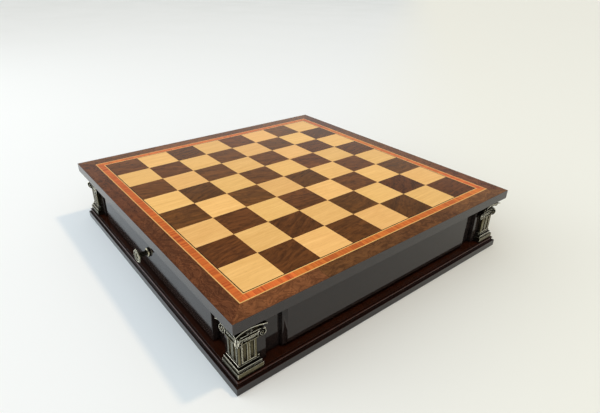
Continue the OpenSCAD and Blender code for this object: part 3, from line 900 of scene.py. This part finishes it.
class CHESSBOX_OT_edging(Step, bpy.types.Operator):
    """Runs the black edging round the top"""

    bl_idname = "chessbox.edging"
    bl_label = "Top edging"

    def build(self, scene):
        ease = scene.chess_box_case.top_arris
        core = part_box("top_core")[1].x
        film = 0.02 * MM
        lip, lip_top = BURL_OUT + film, BOX_TOP - film
        profile = [(core, TOP_UNDER)]
        profile += arc((TOP_HALF - ease, TOP_UNDER + ease), ease, -90, 0, 5)
        profile += arc((lip, lip_top - (TOP_HALF - lip)), TOP_HALF - lip, 0, 90, 4)
        profile += [(lip, VENEER_UNDER), (core, VENEER_UNDER)]
        edging = joined("edging", [copied(drawn("length", mitred_length, profile), quarter(k)) for k in range(4)])
        piece("black_edging", edging, stuff("edging_lacquer"), "cabinet", ["top_edging"], 40)


class CHESSBOX_OT_base(Step, bpy.types.Operator):
    """Runs the base moulding round the case"""

    bl_idname = "chessbox.base"
    bl_label = "Base moulding"

    def build(self, scene):
        ease, bead, quirk = 0.3 * MM, 1.2 * MM, 0.6 * MM
        bead_at = (BASE_HALF - 3.65 * MM, LEDGE_Z - bead - 0.05 * MM)
        riser = bead_at[0] + 0.2 * MM
        ledge_x = bead_at[0] - bead - quirk
        profile = [(BASE_IN, BASE_UNDER)]
        profile += arc((BASE_HALF - ease, BASE_UNDER + ease), ease, -90, 0, 4)
        profile += arc((BASE_HALF - ease, PLAIN_FACE_TOP - ease), ease, 0, 90, 4)
        profile += arc((riser + ease, PLAIN_FACE_TOP - 0.1 * MM + ease), ease, -90, -180, 3)
        profile += arc(bead_at, bead, -60, 180, 16)
        profile += [(ledge_x, bead_at[1])]
        profile += arc((ledge_x - ease, LEDGE_Z - ease), ease, 0, 90, 4)
        profile += [(BASE_IN, LEDGE_Z)]
        for turns, side in enumerate(SIDES):
            mesh = copied(drawn("length", mitred_length, profile), quarter(turns))
            piece(f"moulding_length_{side}", mesh, stuff("moulding_lacquer"), "cabinet",
                  [f"base_moulding_{side}"], 40)


def fielded_panel(bm, low, high, wide, deep):
    """The raised panel of the right-hand side, with the four edges of its face bevelled."""
    soft = 0.35 * MM
    foot = high.x - deep
    rows = [(0, low.x), (0, foot - soft), (0.2 * soft, foot), (0.6 * soft, foot + 0.4 * soft),
            (wide - soft, high.x - 0.5 * soft), (wide, high.x - 0.1 * soft), (wide + soft, high.x)]
    loft(bm, [[(x, low.y + i, low.z + i), (x, high.y - i, low.z + i), (x, high.y - i, high.z - i),
               (x, low.y + i, high.z - i)] for i, x in rows])


class CHESSBOX_OT_case(Step, bpy.types.Operator):
    """Eases the edges of the posts and panels, and finishes the rest of the case"""

    bl_idname = "chessbox.case"
    bl_label = "Case"

    def build(self, scene):
        sizes = scene.chess_box_case
        black = stuff("black_lacquer")
        boards = {f"post_{corner}": "square" for corner in CORNERS}
        boards.update({f"{d}_stile_{side}": "eased" for d in DRAWERS for side in ("left", "right")})
        boards.update({f"{d}_rail": "eased" for d in DRAWERS})
        for node, kind in boards.items():
            mesh = drawn(node, board, *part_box(node), sizes.arris)
            piece(f"{kind}_{node}", mesh, black, "cabinet", [node])
        bevel = (sizes.panel_bevel, sizes.panel_bevel_depth)
        panel = drawn("panel", fielded_panel, *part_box("side_panel_right"), *bevel)
        for side, turns in (("right", 0), ("left", 2)):
            piece(f"raised_panel_{side}", copied(panel, quarter(turns)), black, "cabinet",
                  [f"side_panel_{side}"])
        bpy.data.meshes.remove(panel)
        paint(["side_wall_right", "side_wall_left"], "black_lacquer")
        paint(["guide_right", "guide_left", "kicker_right", "kicker_left"], "bare_wood_y")
        paint(["base_board", "divider", "front_drawer_stop", "back_drawer_stop"], "bare_wood_x")
        paint(["top_core"], "top_core")


# ---- Corner columns, drawn at the back right corner ----


def l_tier(bm, reach, profile, ease):
    """A moulded tier: profile gives how far it stands out at each height, and its ends return."""
    widest = max(out for out, _ in profile)
    face = POST_FACE
    loops = []
    for out, z in profile:
        x, end = face + out, face + 2 * widest - reach - out
        outline = rounded([(face, end), (x, end), (x, x), (end, x), (end, face), (face, face)], (1, 2, 3), ease, 3)
        loops.append([(a, b, z) for a, b in outline])
    loft(bm, loops)


def millimetres(pairs):
    return [(a * MM, b * MM) for a, b in pairs]


def shaft(bm, sizes, z0, z1, face_out, end, flutes):
    """The fluted shaft: an L with a bead on its corner, whose flutes have round ends."""
    x = POST_FACE + face_out
    turn, bead, quirk_in, quirk_w = 1.2 * MM, 1.5 * MM, 0.8 * MM, 0.55 * MM
    half, depth = sizes.flute_half, sizes.flute_depth
    bead_at = (x - bead, x - bead)
    dip = math.degrees(math.acos((bead - quirk_in) / bead))
    bead_start = bead_at[1] - bead * math.sin(math.radians(dip))
    swell = [half * math.sin(math.radians(15 * k)) for k in range(-6, 7)]
    path = [(POST_FACE + 0.4 * MM, end)] + arc((x - turn, end + turn), turn, -90, 0, 5)
    path += [(x, y + part) for y in sorted(flutes) for part in swell]
    path += [(x, bead_start - quirk_w - 0.1 * MM), (x - quirk_in, bead_start - quirk_w)]
    path += arc(bead_at, bead, -dip, 45, 9)
    path += [(b, a) for a, b in reversed(path[:-1])]
    low, high = z0 + 0.7 * MM + half, z1 - 0.7 * MM - half
    heights = [z0] + [low + part for part in swell[:7]] + [high + part for part in swell[6:]] + [z1]
    loops = []
    for z in heights:
        beyond = max(low - z, z - high, 0)
        loop = []
        for a, b in path:
            carve = 0
            for centre in flutes:
                for out, along in ((a, b), (b, a)):
                    away = math.hypot(along - centre, beyond) / half
                    if out > x - 0.01 * MM and away < 1:
                        carve = depth * math.sqrt(1 - away * away)
            loop.append((a - carve * (a > b), b - carve * (b > a), z))
        loop += [(end, POST_FACE, z), (POST_FACE, POST_FACE, z), (POST_FACE, end, z)]
        loops.append(loop)
    loft(bm, loops)


def volute(bm, y, z, way, scroll_r, lean=0.0):
    """A scroll on the right-hand face: a dished disc, a spiral ridge that rolls in, and an eye.

    lean turns it outwards about its own middle, and it stops where its mirror image begins."""
    rim = scroll_r + 0.4 * MM
    face_h = 6.8 * MM
    turned = Matrix.Rotation(-math.radians(lean), 3, "Z")

    def on_face(a, b, h):
        point = turned @ Vector((h - face_h, a, 0))
        x1, y1 = POST_FACE + face_h + point.x, y + point.y
        if y1 > x1:
            x1 = y1 = (x1 + y1) / 2
        return (x1, y1, z + b)

    lathe(bm, [(rim, 2.5 * MM), (rim, 6.5 * MM), (rim - 0.3 * MM, 6.8 * MM), (scroll_r * 0.9, 5.9 * MM),
               (scroll_r * 0.75, 5.4 * MM), (0, 5.3 * MM)], on_face, 40)
    lathe(bm, millimetres([(1.25, 5.2), (1.25, 7.2), (1.0, 7.8), (0.55, 8.1), (0, 8.2)]), on_face, 16)
    turns, steps, inner = 1.5, 72, 1.2 * MM
    fall = math.log(scroll_r / inner) / (turns * 2 * math.pi)
    section = [(-1.0, 0.0), (-0.9, 0.65), (-0.45, 0.94), (0.0, 1.0), (0.45, 0.94), (0.9, 0.65), (1.0, 0.0)]
    loops = []
    for i in range(steps + 1):
        t = turns * 2 * math.pi * i / steps
        r = scroll_r * math.exp(-fall * t)
        shrink = (r / scroll_r) ** 0.3
        half, high = 0.48 * MM * shrink, 2.9 * MM * shrink
        loops.append([
            on_face(way * (r + across * half) * math.sin(t), (r + across * half) * math.cos(t), 5.1 * MM + up * high)
            for across, up in section
        ])
    loft(bm, loops)


def abacus(bm, mid, half, hollow, out, levels):
    """The hollow-sided slab of the capital; levels give how far in its edge lies at each height."""
    steps = 26
    nick = 0.2 * MM
    loops = []
    for inset, z in levels:
        x = POST_FACE + out - inset
        first, last = mid - half + inset, x - 0.7 * MM
        along = [first + (last - first) * i / steps for i in range(steps + 1)]
        face = [(x - hollow * max(0.0, 1 - ((y - mid) / half) ** 2), y) for y in along]
        start = face[0][0]
        face[0] = (start, first + nick)
        loop = [(POST_FACE, first), (start - nick, first)] + face + [(b, a) for a, b in reversed(face)]
        loop += [(first, start - nick), (first, POST_FACE), (POST_FACE, POST_FACE)]
        loops.append([(a, b, z) for a, b in loop])
    loft(bm, loops)


def egg(bm, pitch):
    """One egg in its shell, with the dart beside it, on the plane x = 0."""
    wide, tall, egg_r = pitch / 4.6, 0.7 * MM, 1.18
    turns = [math.pi * i / 8 for i in range(9)]
    rows = []
    for t in turns:
        radius, z = egg_r * math.sin(t) * (1.0 + 0.16 * math.cos(t)), 2.5 * math.cos(t)
        if radius < 0.01:
            rows.append(vertices(bm, [(0, 0, z * tall)]))
            continue
        rows.append(vertices(bm, [
            (1.5 * MM * math.sin(a) * radius / egg_r, -radius * wide * math.cos(a), z * tall) for a in turns
        ]))
    skin(bm, rows, closed=False)
    bm.faces.new([rows[0][0]] + [r[0] for r in rows[1:-1]] + [rows[-1][0]] + [r[-1] for r in reversed(rows[1:-1])])
    loops = []
    for i in range(13):
        t = math.radians(-215 + 250 * i / 12)
        ny, nz = math.cos(t), math.sin(t)
        loops.append([
            (up * MM, ((1.78 + side) * ny) * wide, (3.05 * nz + 0.1 + nz * side) * tall)
            for side, up in ((-0.33, 0), (-0.2, 1.1), (0.2, 1.1), (0.33, 0))
        ])
    loft(bm, loops)
    dart = [(0.05, -2.6, 0.6), (0.42, -1.0, 1.05), (0.36, 0.2, 1.0), (0.42, 2.9, 0.7)]
    loft(bm, [
        [(0, (2.3 - w) * wide, z * tall), (0, (2.3 + w) * wide, z * tall), (h * MM, 2.3 * wide, z * tall)]
        for w, z, h in dart
    ])


def tongue(bm):
    """One small rounded tongue of the foot moulding."""
    turns = [math.pi * i / 6 for i in range(7)]
    levels = ((0.0, 0.62, 0.55), (1.15, 0.62, 0.55), (1.65, 0.52, 0.44), (1.95, 0.27, 0.25), (2.05, 0.08, 0.1))
    loft(bm, [
        [(h * MM * math.sin(t) - 0.5 * MM * (z / 2.05), w * MM * math.cos(t), -z * MM) for t in turns]
        for z, w, h in levels
    ])


def petal(bm):
    """One cupped petal that points along X, on the plane z = 0."""
    sections = ((0.7, 0.3, 0.3), (1.4, 0.6, 0.55), (2.3, 0.88, 0.8), (3.1, 0.85, 0.75), (3.7, 0.5, 0.5),
                (3.95, 0.12, 0.25))
    loft(bm, [
        [(x * MM, w * s * MM, (h * (0.62 + 0.38 * abs(s) ** 1.5) if abs(s) < 0.99 else 0) * MM)
         for s in (-1.0, -0.85, -0.5, 0.0, 0.5, 0.85, 1.0)]
        for x, w, h in sections
    ])


def column_core(bm, sizes):
    """The body of a column. A tier has its reach along the post, how much its corners are eased, and how far it
    stands out at each height, all in millimetres."""

    def raise_tiers(*tiers):
        for reach, ease, rows in tiers:
            l_tier(bm, reach * MM, [(out * MM, LEDGE_Z + z * MM) for out, z in rows], ease * MM)

    raise_tiers(
        (31, 0.25, [(9.1, 0), (9.3, 0.3), (9.3, 6.3), (9.2, 6.6), (8.95, 6.75), (8.3, 6.85)]),
        (29.2, 0.25, [(8.0, 6.8), (8.0, 7.25), (7.6, 7.45), (7.3, 8.0), (7.1, 8.9), (7.05, 9.25), (7.6, 9.4),
                      (7.8, 9.7), (7.6, 10.0)]),
        (24, 0.25, [(4.3, 9.9), (4.2, 12.4)]),
        (24.6, 0.3, [(5.3, 12.2), (5.9, 12.35), (5.95, 12.9), (5.75, 13.15), (4.8, 13.3)]),
        (24, 0.25, [(4.1, 13.2), (4.1, 14.3)]),
    )
    shaft(bm, sizes, LEDGE_Z + 14.1 * MM, LEDGE_Z + 39.2 * MM, 5.15 * MM, POST_FACE - 17.1 * MM,
          (POST_FACE - 2.4 * MM, POST_FACE - 11 * MM))
    raise_tiers(
        (25, 0.5, [(4.6, 38.6), (5.6, 38.8), (6.3, 39.25), (6.5, 39.8), (6.3, 40.35), (5.6, 40.75), (4.6, 40.9)]),
        (25, 0.5, [(4.2, 40.7), (4.3, 42.0), (4.5, 44.0), (4.6, 45.4)]),
        (27.4, 0.3, [(4.6, 45.1), (5.9, 45.4), (6.35, 45.75), (6.35, 46.15), (5.9, 46.45), (4.7, 46.7), (4.6, 47.7),
                     (4.7, 48.5), (5.9, 48.75), (6.5, 49.05), (6.5, 49.45), (5.9, 49.75), (4.6, 50.0), (4.2, 51.5),
                     (4.5, 52.6), (6.4, 53.4)]),
    )


def scrolls(bm, scroll_r):
    """The two volutes of one face."""
    eye_z = LEDGE_Z + 43.9 * MM
    volute(bm, POST_FACE + 3.2 * MM, eye_z, 1, scroll_r, lean=24)
    volute(bm, POST_FACE - 22.3 * MM, eye_z, -1, scroll_r)


def flower_boss(bm):
    """The domed middle of a flower, and the disc behind its petals."""
    def flat(a, b, h):
        return (a, b, h)

    lathe(bm, millimetres([(1.1, 0), (1.05, 0.8), (0.8, 1.2), (0.4, 1.4), (0, 1.45)]), flat, 14)
    lathe(bm, millimetres([(3.3, -3.0), (3.3, 0.05), (0, 0.1)]), flat, 20)


def face_ornament(sizes):
    """All the ornament on the right-hand face of a column."""
    row = row_tree()
    eggs = run_tree(row, drawn("egg", egg, sizes.egg_pitch), "antique_brass", Count=5,
                    Start=(POST_FACE + 4.3 * MM, 203.1 * MM, LEDGE_Z + 43.2 * MM), Step=(0, sizes.egg_pitch, 0))
    tongues = run_tree(row, drawn("tongue", tongue), "antique_brass", Count=17,
                       Start=(POST_FACE + 7.6 * MM, 198.4 * MM, LEDGE_Z + 9.35 * MM), Step=(0, sizes.tongue_pitch, 0))
    petals = run_tree(ring_tree(), drawn("petal", petal), "antique_brass", Count=sizes.petals, Radius=0.0001 * MM)
    to_front = Matrix.Translation(FLOWER) @ Matrix.Rotation(math.radians(90), 4, "Y")
    flower = copied(joined("flower", [petals, drawn("boss", flower_boss)]), to_front)
    return joined("face", [drawn("scrolls", scrolls, sizes.scroll_r), eggs, tongues, flower])


class CHESSBOX_OT_columns(Step, bpy.types.Operator):
    """Casts the four corner columns"""

    bl_idname = "chessbox.columns"
    bl_label = "Corner columns"

    def build(self, scene):
        sizes = scene.chess_box_columns
        core = drawn("core", column_core, sizes)
        face = face_ornament(sizes)
        levels = [(3.4, 53.2), (2.9, 53.9), (2.5, 54.8), (2.4, 55.8), (2.2, 56.8), (0.3, 57.3), (0.0, 57.45),
                  (0.0, 57.95), (0.15, 58.1)]
        levels = [(inset * MM, LEDGE_Z + z * MM) for inset, z in levels]
        slab = drawn("slab", abacus, 211.3 * MM, 18.7 * MM, 3.8 * MM, 12 * MM, levels)
        column = joined("column", [core, slab, face.copy(), copied(face, OTHER_FACE)])
        bpy.data.meshes.remove(face)
        for turns, corner in enumerate(CORNERS):
            piece(f"brass_column_{corner}", copied(column, quarter(turns)), stuff("antique_brass"), "cabinet",
                  [f"column_{corner}"], 32)
        bpy.data.meshes.remove(column)


# ---- Knobs and drawers, drawn at the back and turned round for the front ----


def on_front(a, b, h):
    """A place on the back drawer's front: across and up from its knob's axis, and out from its face."""
    return (-a, FRONT_FACE + h, KNOB_Z + b)


class CHESSBOX_OT_knobs(Step, bpy.types.Operator):
    """Turns the knobs and their rosettes"""

    bl_idname = "chessbox.knobs"
    bl_label = "Knobs"

    def build(self, scene):
        sizes = scene.chess_box_knobs
        rosette = [(2.2, 0), (6.1, 0), (6.35, 0.3), (6.4, 1.0), (6.3, 1.7), (6.0, 2.4), (5.5, 2.95), (4.9, 3.25),
                   (4.3, 3.2), (3.8, 2.85), (3.4, 2.2), (3.2, 1.6), (2.9, 1.5), (2.8, 3.0), (2.2, 3.0)]
        knob = [(0, 3.02), (2.75, 3.02), (3.1, 3.4), (3.0, 4.0), (3.0, 5.4), (3.2, 8.0), (3.7, 10.0), (4.3, 11.3),
                (5.2, 12.2), (6.4, 12.9), (7.7, 13.4), (8.5, 13.9), (9.1, 14.5), (9.2, 15.2), (9.1, 15.7),
                (8.85, 15.95), (8.5, 16.0), (6.95, 16.0), (6.7, 15.8), (6.4, 15.75), (5.6, 16.0), (4.9, 16.1),
                (4.4, 16.0), (4.1, 15.6), (3.9, 14.6), (3.5, 14.0), (2.2, 13.9), (1.9, 14.3), (1.6, 14.9),
                (1.0, 15.2), (0, 15.3)]
        drawn_out = 17 * MM
        shift = KNOB_OUT - drawn_out
        plate = drawn("plate", lathe, millimetres(rosette), on_front, 56)
        turned = drawn("turned", lathe, [(r, h + shift) for r, h in millimetres(knob)], on_front, 64)
        bm = bmesh.new()
        bmesh.ops.create_icosphere(bm, subdivisions=2, radius=sizes.bead_r)
        beads = run_tree(ring_tree(), to_mesh(bm, "bead"), "knob_brass", Count=sizes.beads, Radius=sizes.bead_ring)
        to_face = Matrix.Translation((0, FRONT_FACE + shift + drawn_out - sizes.bead_r, KNOB_Z))
        whole = joined("knob", [turned, copied(beads, to_face @ Matrix.Rotation(math.radians(-90), 4, "X"))])
        bpy.data.meshes.remove(beads)
        for drawer, turns in DRAWERS.items():
            for part, mesh in (("knob", whole), ("rosette", plate)):
                piece(f"brass_{part}_{drawer}", copied(mesh, quarter(turns)), stuff("knob_brass"), f"{drawer}_drawer",
                      [f"{drawer}_{part}"], 40)
        for mesh in (whole, plate):
            bpy.data.meshes.remove(mesh)
        paint([f"{d}_knob_screw" for d in DRAWERS], "plain_steel")


def eased_front(node, ease):
    """A drawer front with its shown edges rounded, and its bores and grooves kept."""
    bm = bmesh.new()
    bm.from_mesh(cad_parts[node].data)
    bmesh.ops.remove_doubles(bm, verts=bm.verts, dist=0.01 * MM)
    bmesh.ops.dissolve_limit(bm, angle_limit=math.radians(1), verts=bm.verts, edges=bm.edges)
    shown = [v for v in bm.verts if abs(v.co.y) > FRONT_FACE - 0.01 * MM]
    shown = [e for v in shown for e in v.link_edges if e.calc_length() > 10 * MM and e.calc_face_angle(0) > 1]
    bmesh.ops.bevel(bm, geom=list(dict.fromkeys(shown)), offset=ease, segments=3, profile=0.5, affect="EDGES")
    bmesh.ops.triangulate(bm, faces=[f for f in bm.faces if len(f.verts) > 4])
    # The triangles come in no fixed order, so they are sorted by a height that no two of them share.
    uneven = Vector((1.0, 31.7, 973.1))
    bm.faces.sort(key=lambda face: face.calc_center_median().dot(uneven))
    return to_mesh(bm, node)


class CHESSBOX_OT_drawers(Step, bpy.types.Operator):
    """Makes the drawers with their fronts"""

    bl_idname = "chessbox.drawers"
    bl_label = "Drawers"

    def build(self, scene):
        sizes = scene.chess_box_case
        boards = {"left_side": "bare_wood_y", "right_side": "bare_wood_y", "back": "bare_wood_x",
                  "partition": "bare_wood_y"}
        for body in (f"{drawer}_drawer" for drawer in DRAWERS):
            front = f"{body}_front"
            piece(f"eased_{front}", eased_front(front, sizes.arris), stuff("front_lacquer"), body,
                  [front])
            for part, wood in boards.items():
                node = f"{body}_{part}"
                mesh = drawn(node, board, *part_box(node), sizes.drawer_arris)
                piece(f"eased_{node}", mesh, stuff(wood), body, [node])
            paint([f"{body}_bottom"], "bare_wood_x")


def felt_sheet(bm, low, high, cells, seed):
    """A sheet of felt with soft cut edges and a faintly uneven face."""
    chance = random.Random(seed)
    thick = high.z - low.z
    ease = thick * 0.35
    steps = range(cells)
    rim = [(i, 0) for i in steps] + [(cells, i) for i in steps]
    rim += [(cells - i, cells) for i in steps] + [(0, cells - i) for i in steps]

    def at(i, j, inset, z):
        wide, deep = high.x - low.x - 2 * inset, high.y - low.y - 2 * inset
        return (low.x + inset + wide * i / cells, low.y + inset + deep * j / cells, z)

    levels = ((0, low.z), (0, high.z - ease), (ease * 0.3, high.z - ease * 0.3), (ease, high.z))
    rows = [vertices(bm, [at(i, j, inset, z) for i, j in rim]) for inset, z in levels]
    skin(bm, rows)
    bm.faces.new(rows[0][::-1])
    face = dict(zip(rim, rows[-1]))
    for i in range(1, cells):
        for j in range(1, cells):
            face[i, j] = bm.verts.new(at(i, j, ease, high.z - chance.uniform(0, 0.08) * thick))
    for i in steps:
        for j in steps:
            bm.faces.new((face[i, j], face[i + 1, j], face[i + 1, j + 1], face[i, j + 1]))


class CHESSBOX_OT_felt(Step, bpy.types.Operator):
    """Lays the felt under the base and in the drawers"""

    bl_idname = "chessbox.felt"
    bl_label = "Felt"

    def build(self, scene):
        cells, base_seed, drawer_seed = 24, 3, 5
        low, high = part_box("base_felt")
        mesh = drawn("felt", felt_sheet, low, high, cells, base_seed)
        made = piece("felt_under_base", mesh, stuff("green_felt"), "cabinet", ["base_felt"])
        for drawer in DRAWERS:
            node = f"{drawer}_drawer_lining"
            low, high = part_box(node)
            mesh = drawn("felt", felt_sheet, low, high, cells, drawer_seed)
            body = f"{drawer}_drawer"
            made = piece(f"felt_in_{body}", mesh, stuff("green_felt"), body, [node])


# ---- Stage ----


def build_floor():
    """A pale floor with painted light: lightest near the box and darker away from it, and tinted by a painted warm
    light behind it.
    """
    bm = bmesh.new()
    turns = full_turn(48)
    rows = [vertices(bm, [(radius * math.cos(t), radius * math.sin(t), 0) for t in turns])
            for radius in (0.4, 0.8, 1.6, 3.2, 6.4, 14.0)]
    bm.faces.new(rows[0])
    skin(bm, rows)
    for face in bm.faces:
        face.normal_update()
        if face.normal.z < 0:
            face.normal_flip()
    floor = linked("floor", to_mesh(bm, "floor", outward=False))
    w = Finish("pale_floor", Specular_IOR_Level=0.1)
    far = w.vector("LENGTH", w.where)
    cloud = w.noise(w.where, 3.0, 2.0)[0]
    # Painted light: the floor's colour darkens with distance from the box.
    shade = w.place("ShaderNodeValToRGB", {0: w.math("DIVIDE", far, 6.0)})
    near, away = shade.color_ramp.elements
    near.position, near.color = 0.16, (0.915, 0.915, 0.905, 1)
    away.position, away.color = 0.95, (0.77, 0.78, 0.765, 1)
    coloured = w.mix(w.spread(cloud, 0.3, 0.7, 0.0, 0.35), shade.outputs[0], (0.905, 0.905, 0.90, 1))
    # Painted warm light on the side behind the box, where the warm lamp stands.
    warm_light = w.vector("DOT_PRODUCT", w.where, (0.78, 0.62, 0))
    w.end(w.mix(w.spread(warm_light, -0.15, 0.45, smooth=True), coloured, (0.91, 0.89, 0.81, 1)), 0.9)
    floor.data.materials.append(w.material)


def build_world(strength):
    """Soft light all round. Mirrors and the camera see a white horizon; mirrors see it darken overhead."""
    world = bpy.data.worlds.new("studio")
    bpy.context.scene.world = world
    world.use_nodes = True
    w = Wiring(world.node_tree)
    towards = w.place("ShaderNodeTexCoord").outputs["Generated"]
    overhead = w.spread(w.apart(towards)[2], 0.10, 0.52, smooth=True)
    mirrored = w.mix(overhead, (0.92, 0.91, 0.89, 1), (0.10, 0.10, 0.10, 1))
    rays = w.place("ShaderNodeLightPath").outputs
    side = w.vector("DOT_PRODUCT", towards, (0.30, -0.95, 0))
    lit = w.mix(w.spread(side, -0.8, 0.8, smooth=True), shade_of((0.86, 0.86, 0.84), 0.30 * strength),
                shade_of((0.85, 0.94, 1.0), 1.45 * strength))
    soft = w.mix(rays["Is Glossy Ray"], lit, mirrored)
    seen = w.math("MAXIMUM", rays["Is Camera Ray"], rays["Is Transmission Ray"])
    w.feed(w.tree.nodes["Background"].inputs["Color"], w.mix(seen, soft, (0.76, 0.77, 0.765, 1)))


def lamp(name, kind, energy, tint, away, **settings):
    """A lamp that shines on the middle of the box from away."""
    data = bpy.data.lights.new(name, kind)
    data.energy = energy
    data.color = tint
    for key, value in settings.items():
        setattr(data, key, value)
    made = linked(name, data)
    made.location = away
    made.rotation_euler = Vector(away).to_track_quat("Z", "Y").to_euler()
    return made


def build_camera(lens):
    data = bpy.data.cameras.new("camera")
    data.lens = lens
    data.sensor_width = 36
    made = linked("camera", data)
    made.location = CAMERA_AT
    turn = Matrix((Vector(CAMERA_RIGHT), -Vector(CAMERA_DOWN), -Vector(CAMERA_FORWARD))).transposed()
    made.rotation_euler = turn.to_euler()
    bpy.context.scene.camera = made


class CHESSBOX_OT_stage(Step, bpy.types.Operator):
    """Sets up the floor, the light and the camera"""

    bl_idname = "chessbox.stage"
    bl_label = "Stage"

    def build(self, scene):
        studio = scene.chess_box_studio
        build_floor()
        build_world(studio.ambient)
        warm_light = lamp("warm_lamp", "SUN", studio.warm_lamp, (1.0, 0.74, 0.46), (0.8, 1.28, 2.67), angle=math.radians(5))
        warm_light.visible_glossy = False
        lamp("window", "AREA", studio.window, (0.86, 0.93, 1.0), (-1.25, -1.65, 0.8), shape="RECTANGLE", size=1.8,
             size_y=1.1)
        build_camera(studio.lens)
        scene.view_settings.view_transform = "Standard"


STEPS = (
    CHESSBOX_OT_materials,
    CHESSBOX_OT_squares,
    CHESSBOX_OT_borders,
    CHESSBOX_OT_edging,
    CHESSBOX_OT_base,
    CHESSBOX_OT_case,
    CHESSBOX_OT_columns,
    CHESSBOX_OT_knobs,
    CHESSBOX_OT_drawers,
    CHESSBOX_OT_felt,
    CHESSBOX_OT_stage,
)


class CHESSBOX_PT_maker(bpy.types.Panel):
    """Lists the sizes, the colours and the steps"""

    bl_idname = "CHESSBOX_PT_maker"
    bl_label = "Chess Box"
    bl_space_type = "VIEW_3D"
    bl_region_type = "UI"
    bl_category = "Chess Box"

    def draw(self, context):
        for name, group in GROUPS.items():
            box = self.layout.box()
            box.label(text=group.__name__)
            for key in group.__annotations__:
                box.prop(getattr(context.scene, name), key)
        for step in STEPS:
            self.layout.operator(step.bl_idname)


def register():
    for kind in (*GROUPS.values(), *STEPS, CHESSBOX_PT_maker):
        bpy.utils.register_class(kind)
    for name, group in GROUPS.items():
        setattr(bpy.types.Scene, name, bpy.props.PointerProperty(type=group))


def unregister():
    for name in GROUPS:
        delattr(bpy.types.Scene, name)
    for kind in (CHESSBOX_PT_maker, *reversed(STEPS), *reversed(list(GROUPS.values()))):
        bpy.utils.unregister_class(kind)


def main():
    register()
    for step in STEPS:
        group, name = step.bl_idname.split(".")
        getattr(getattr(bpy.ops, group), name)()


if __name__ == "__main__":
    main()
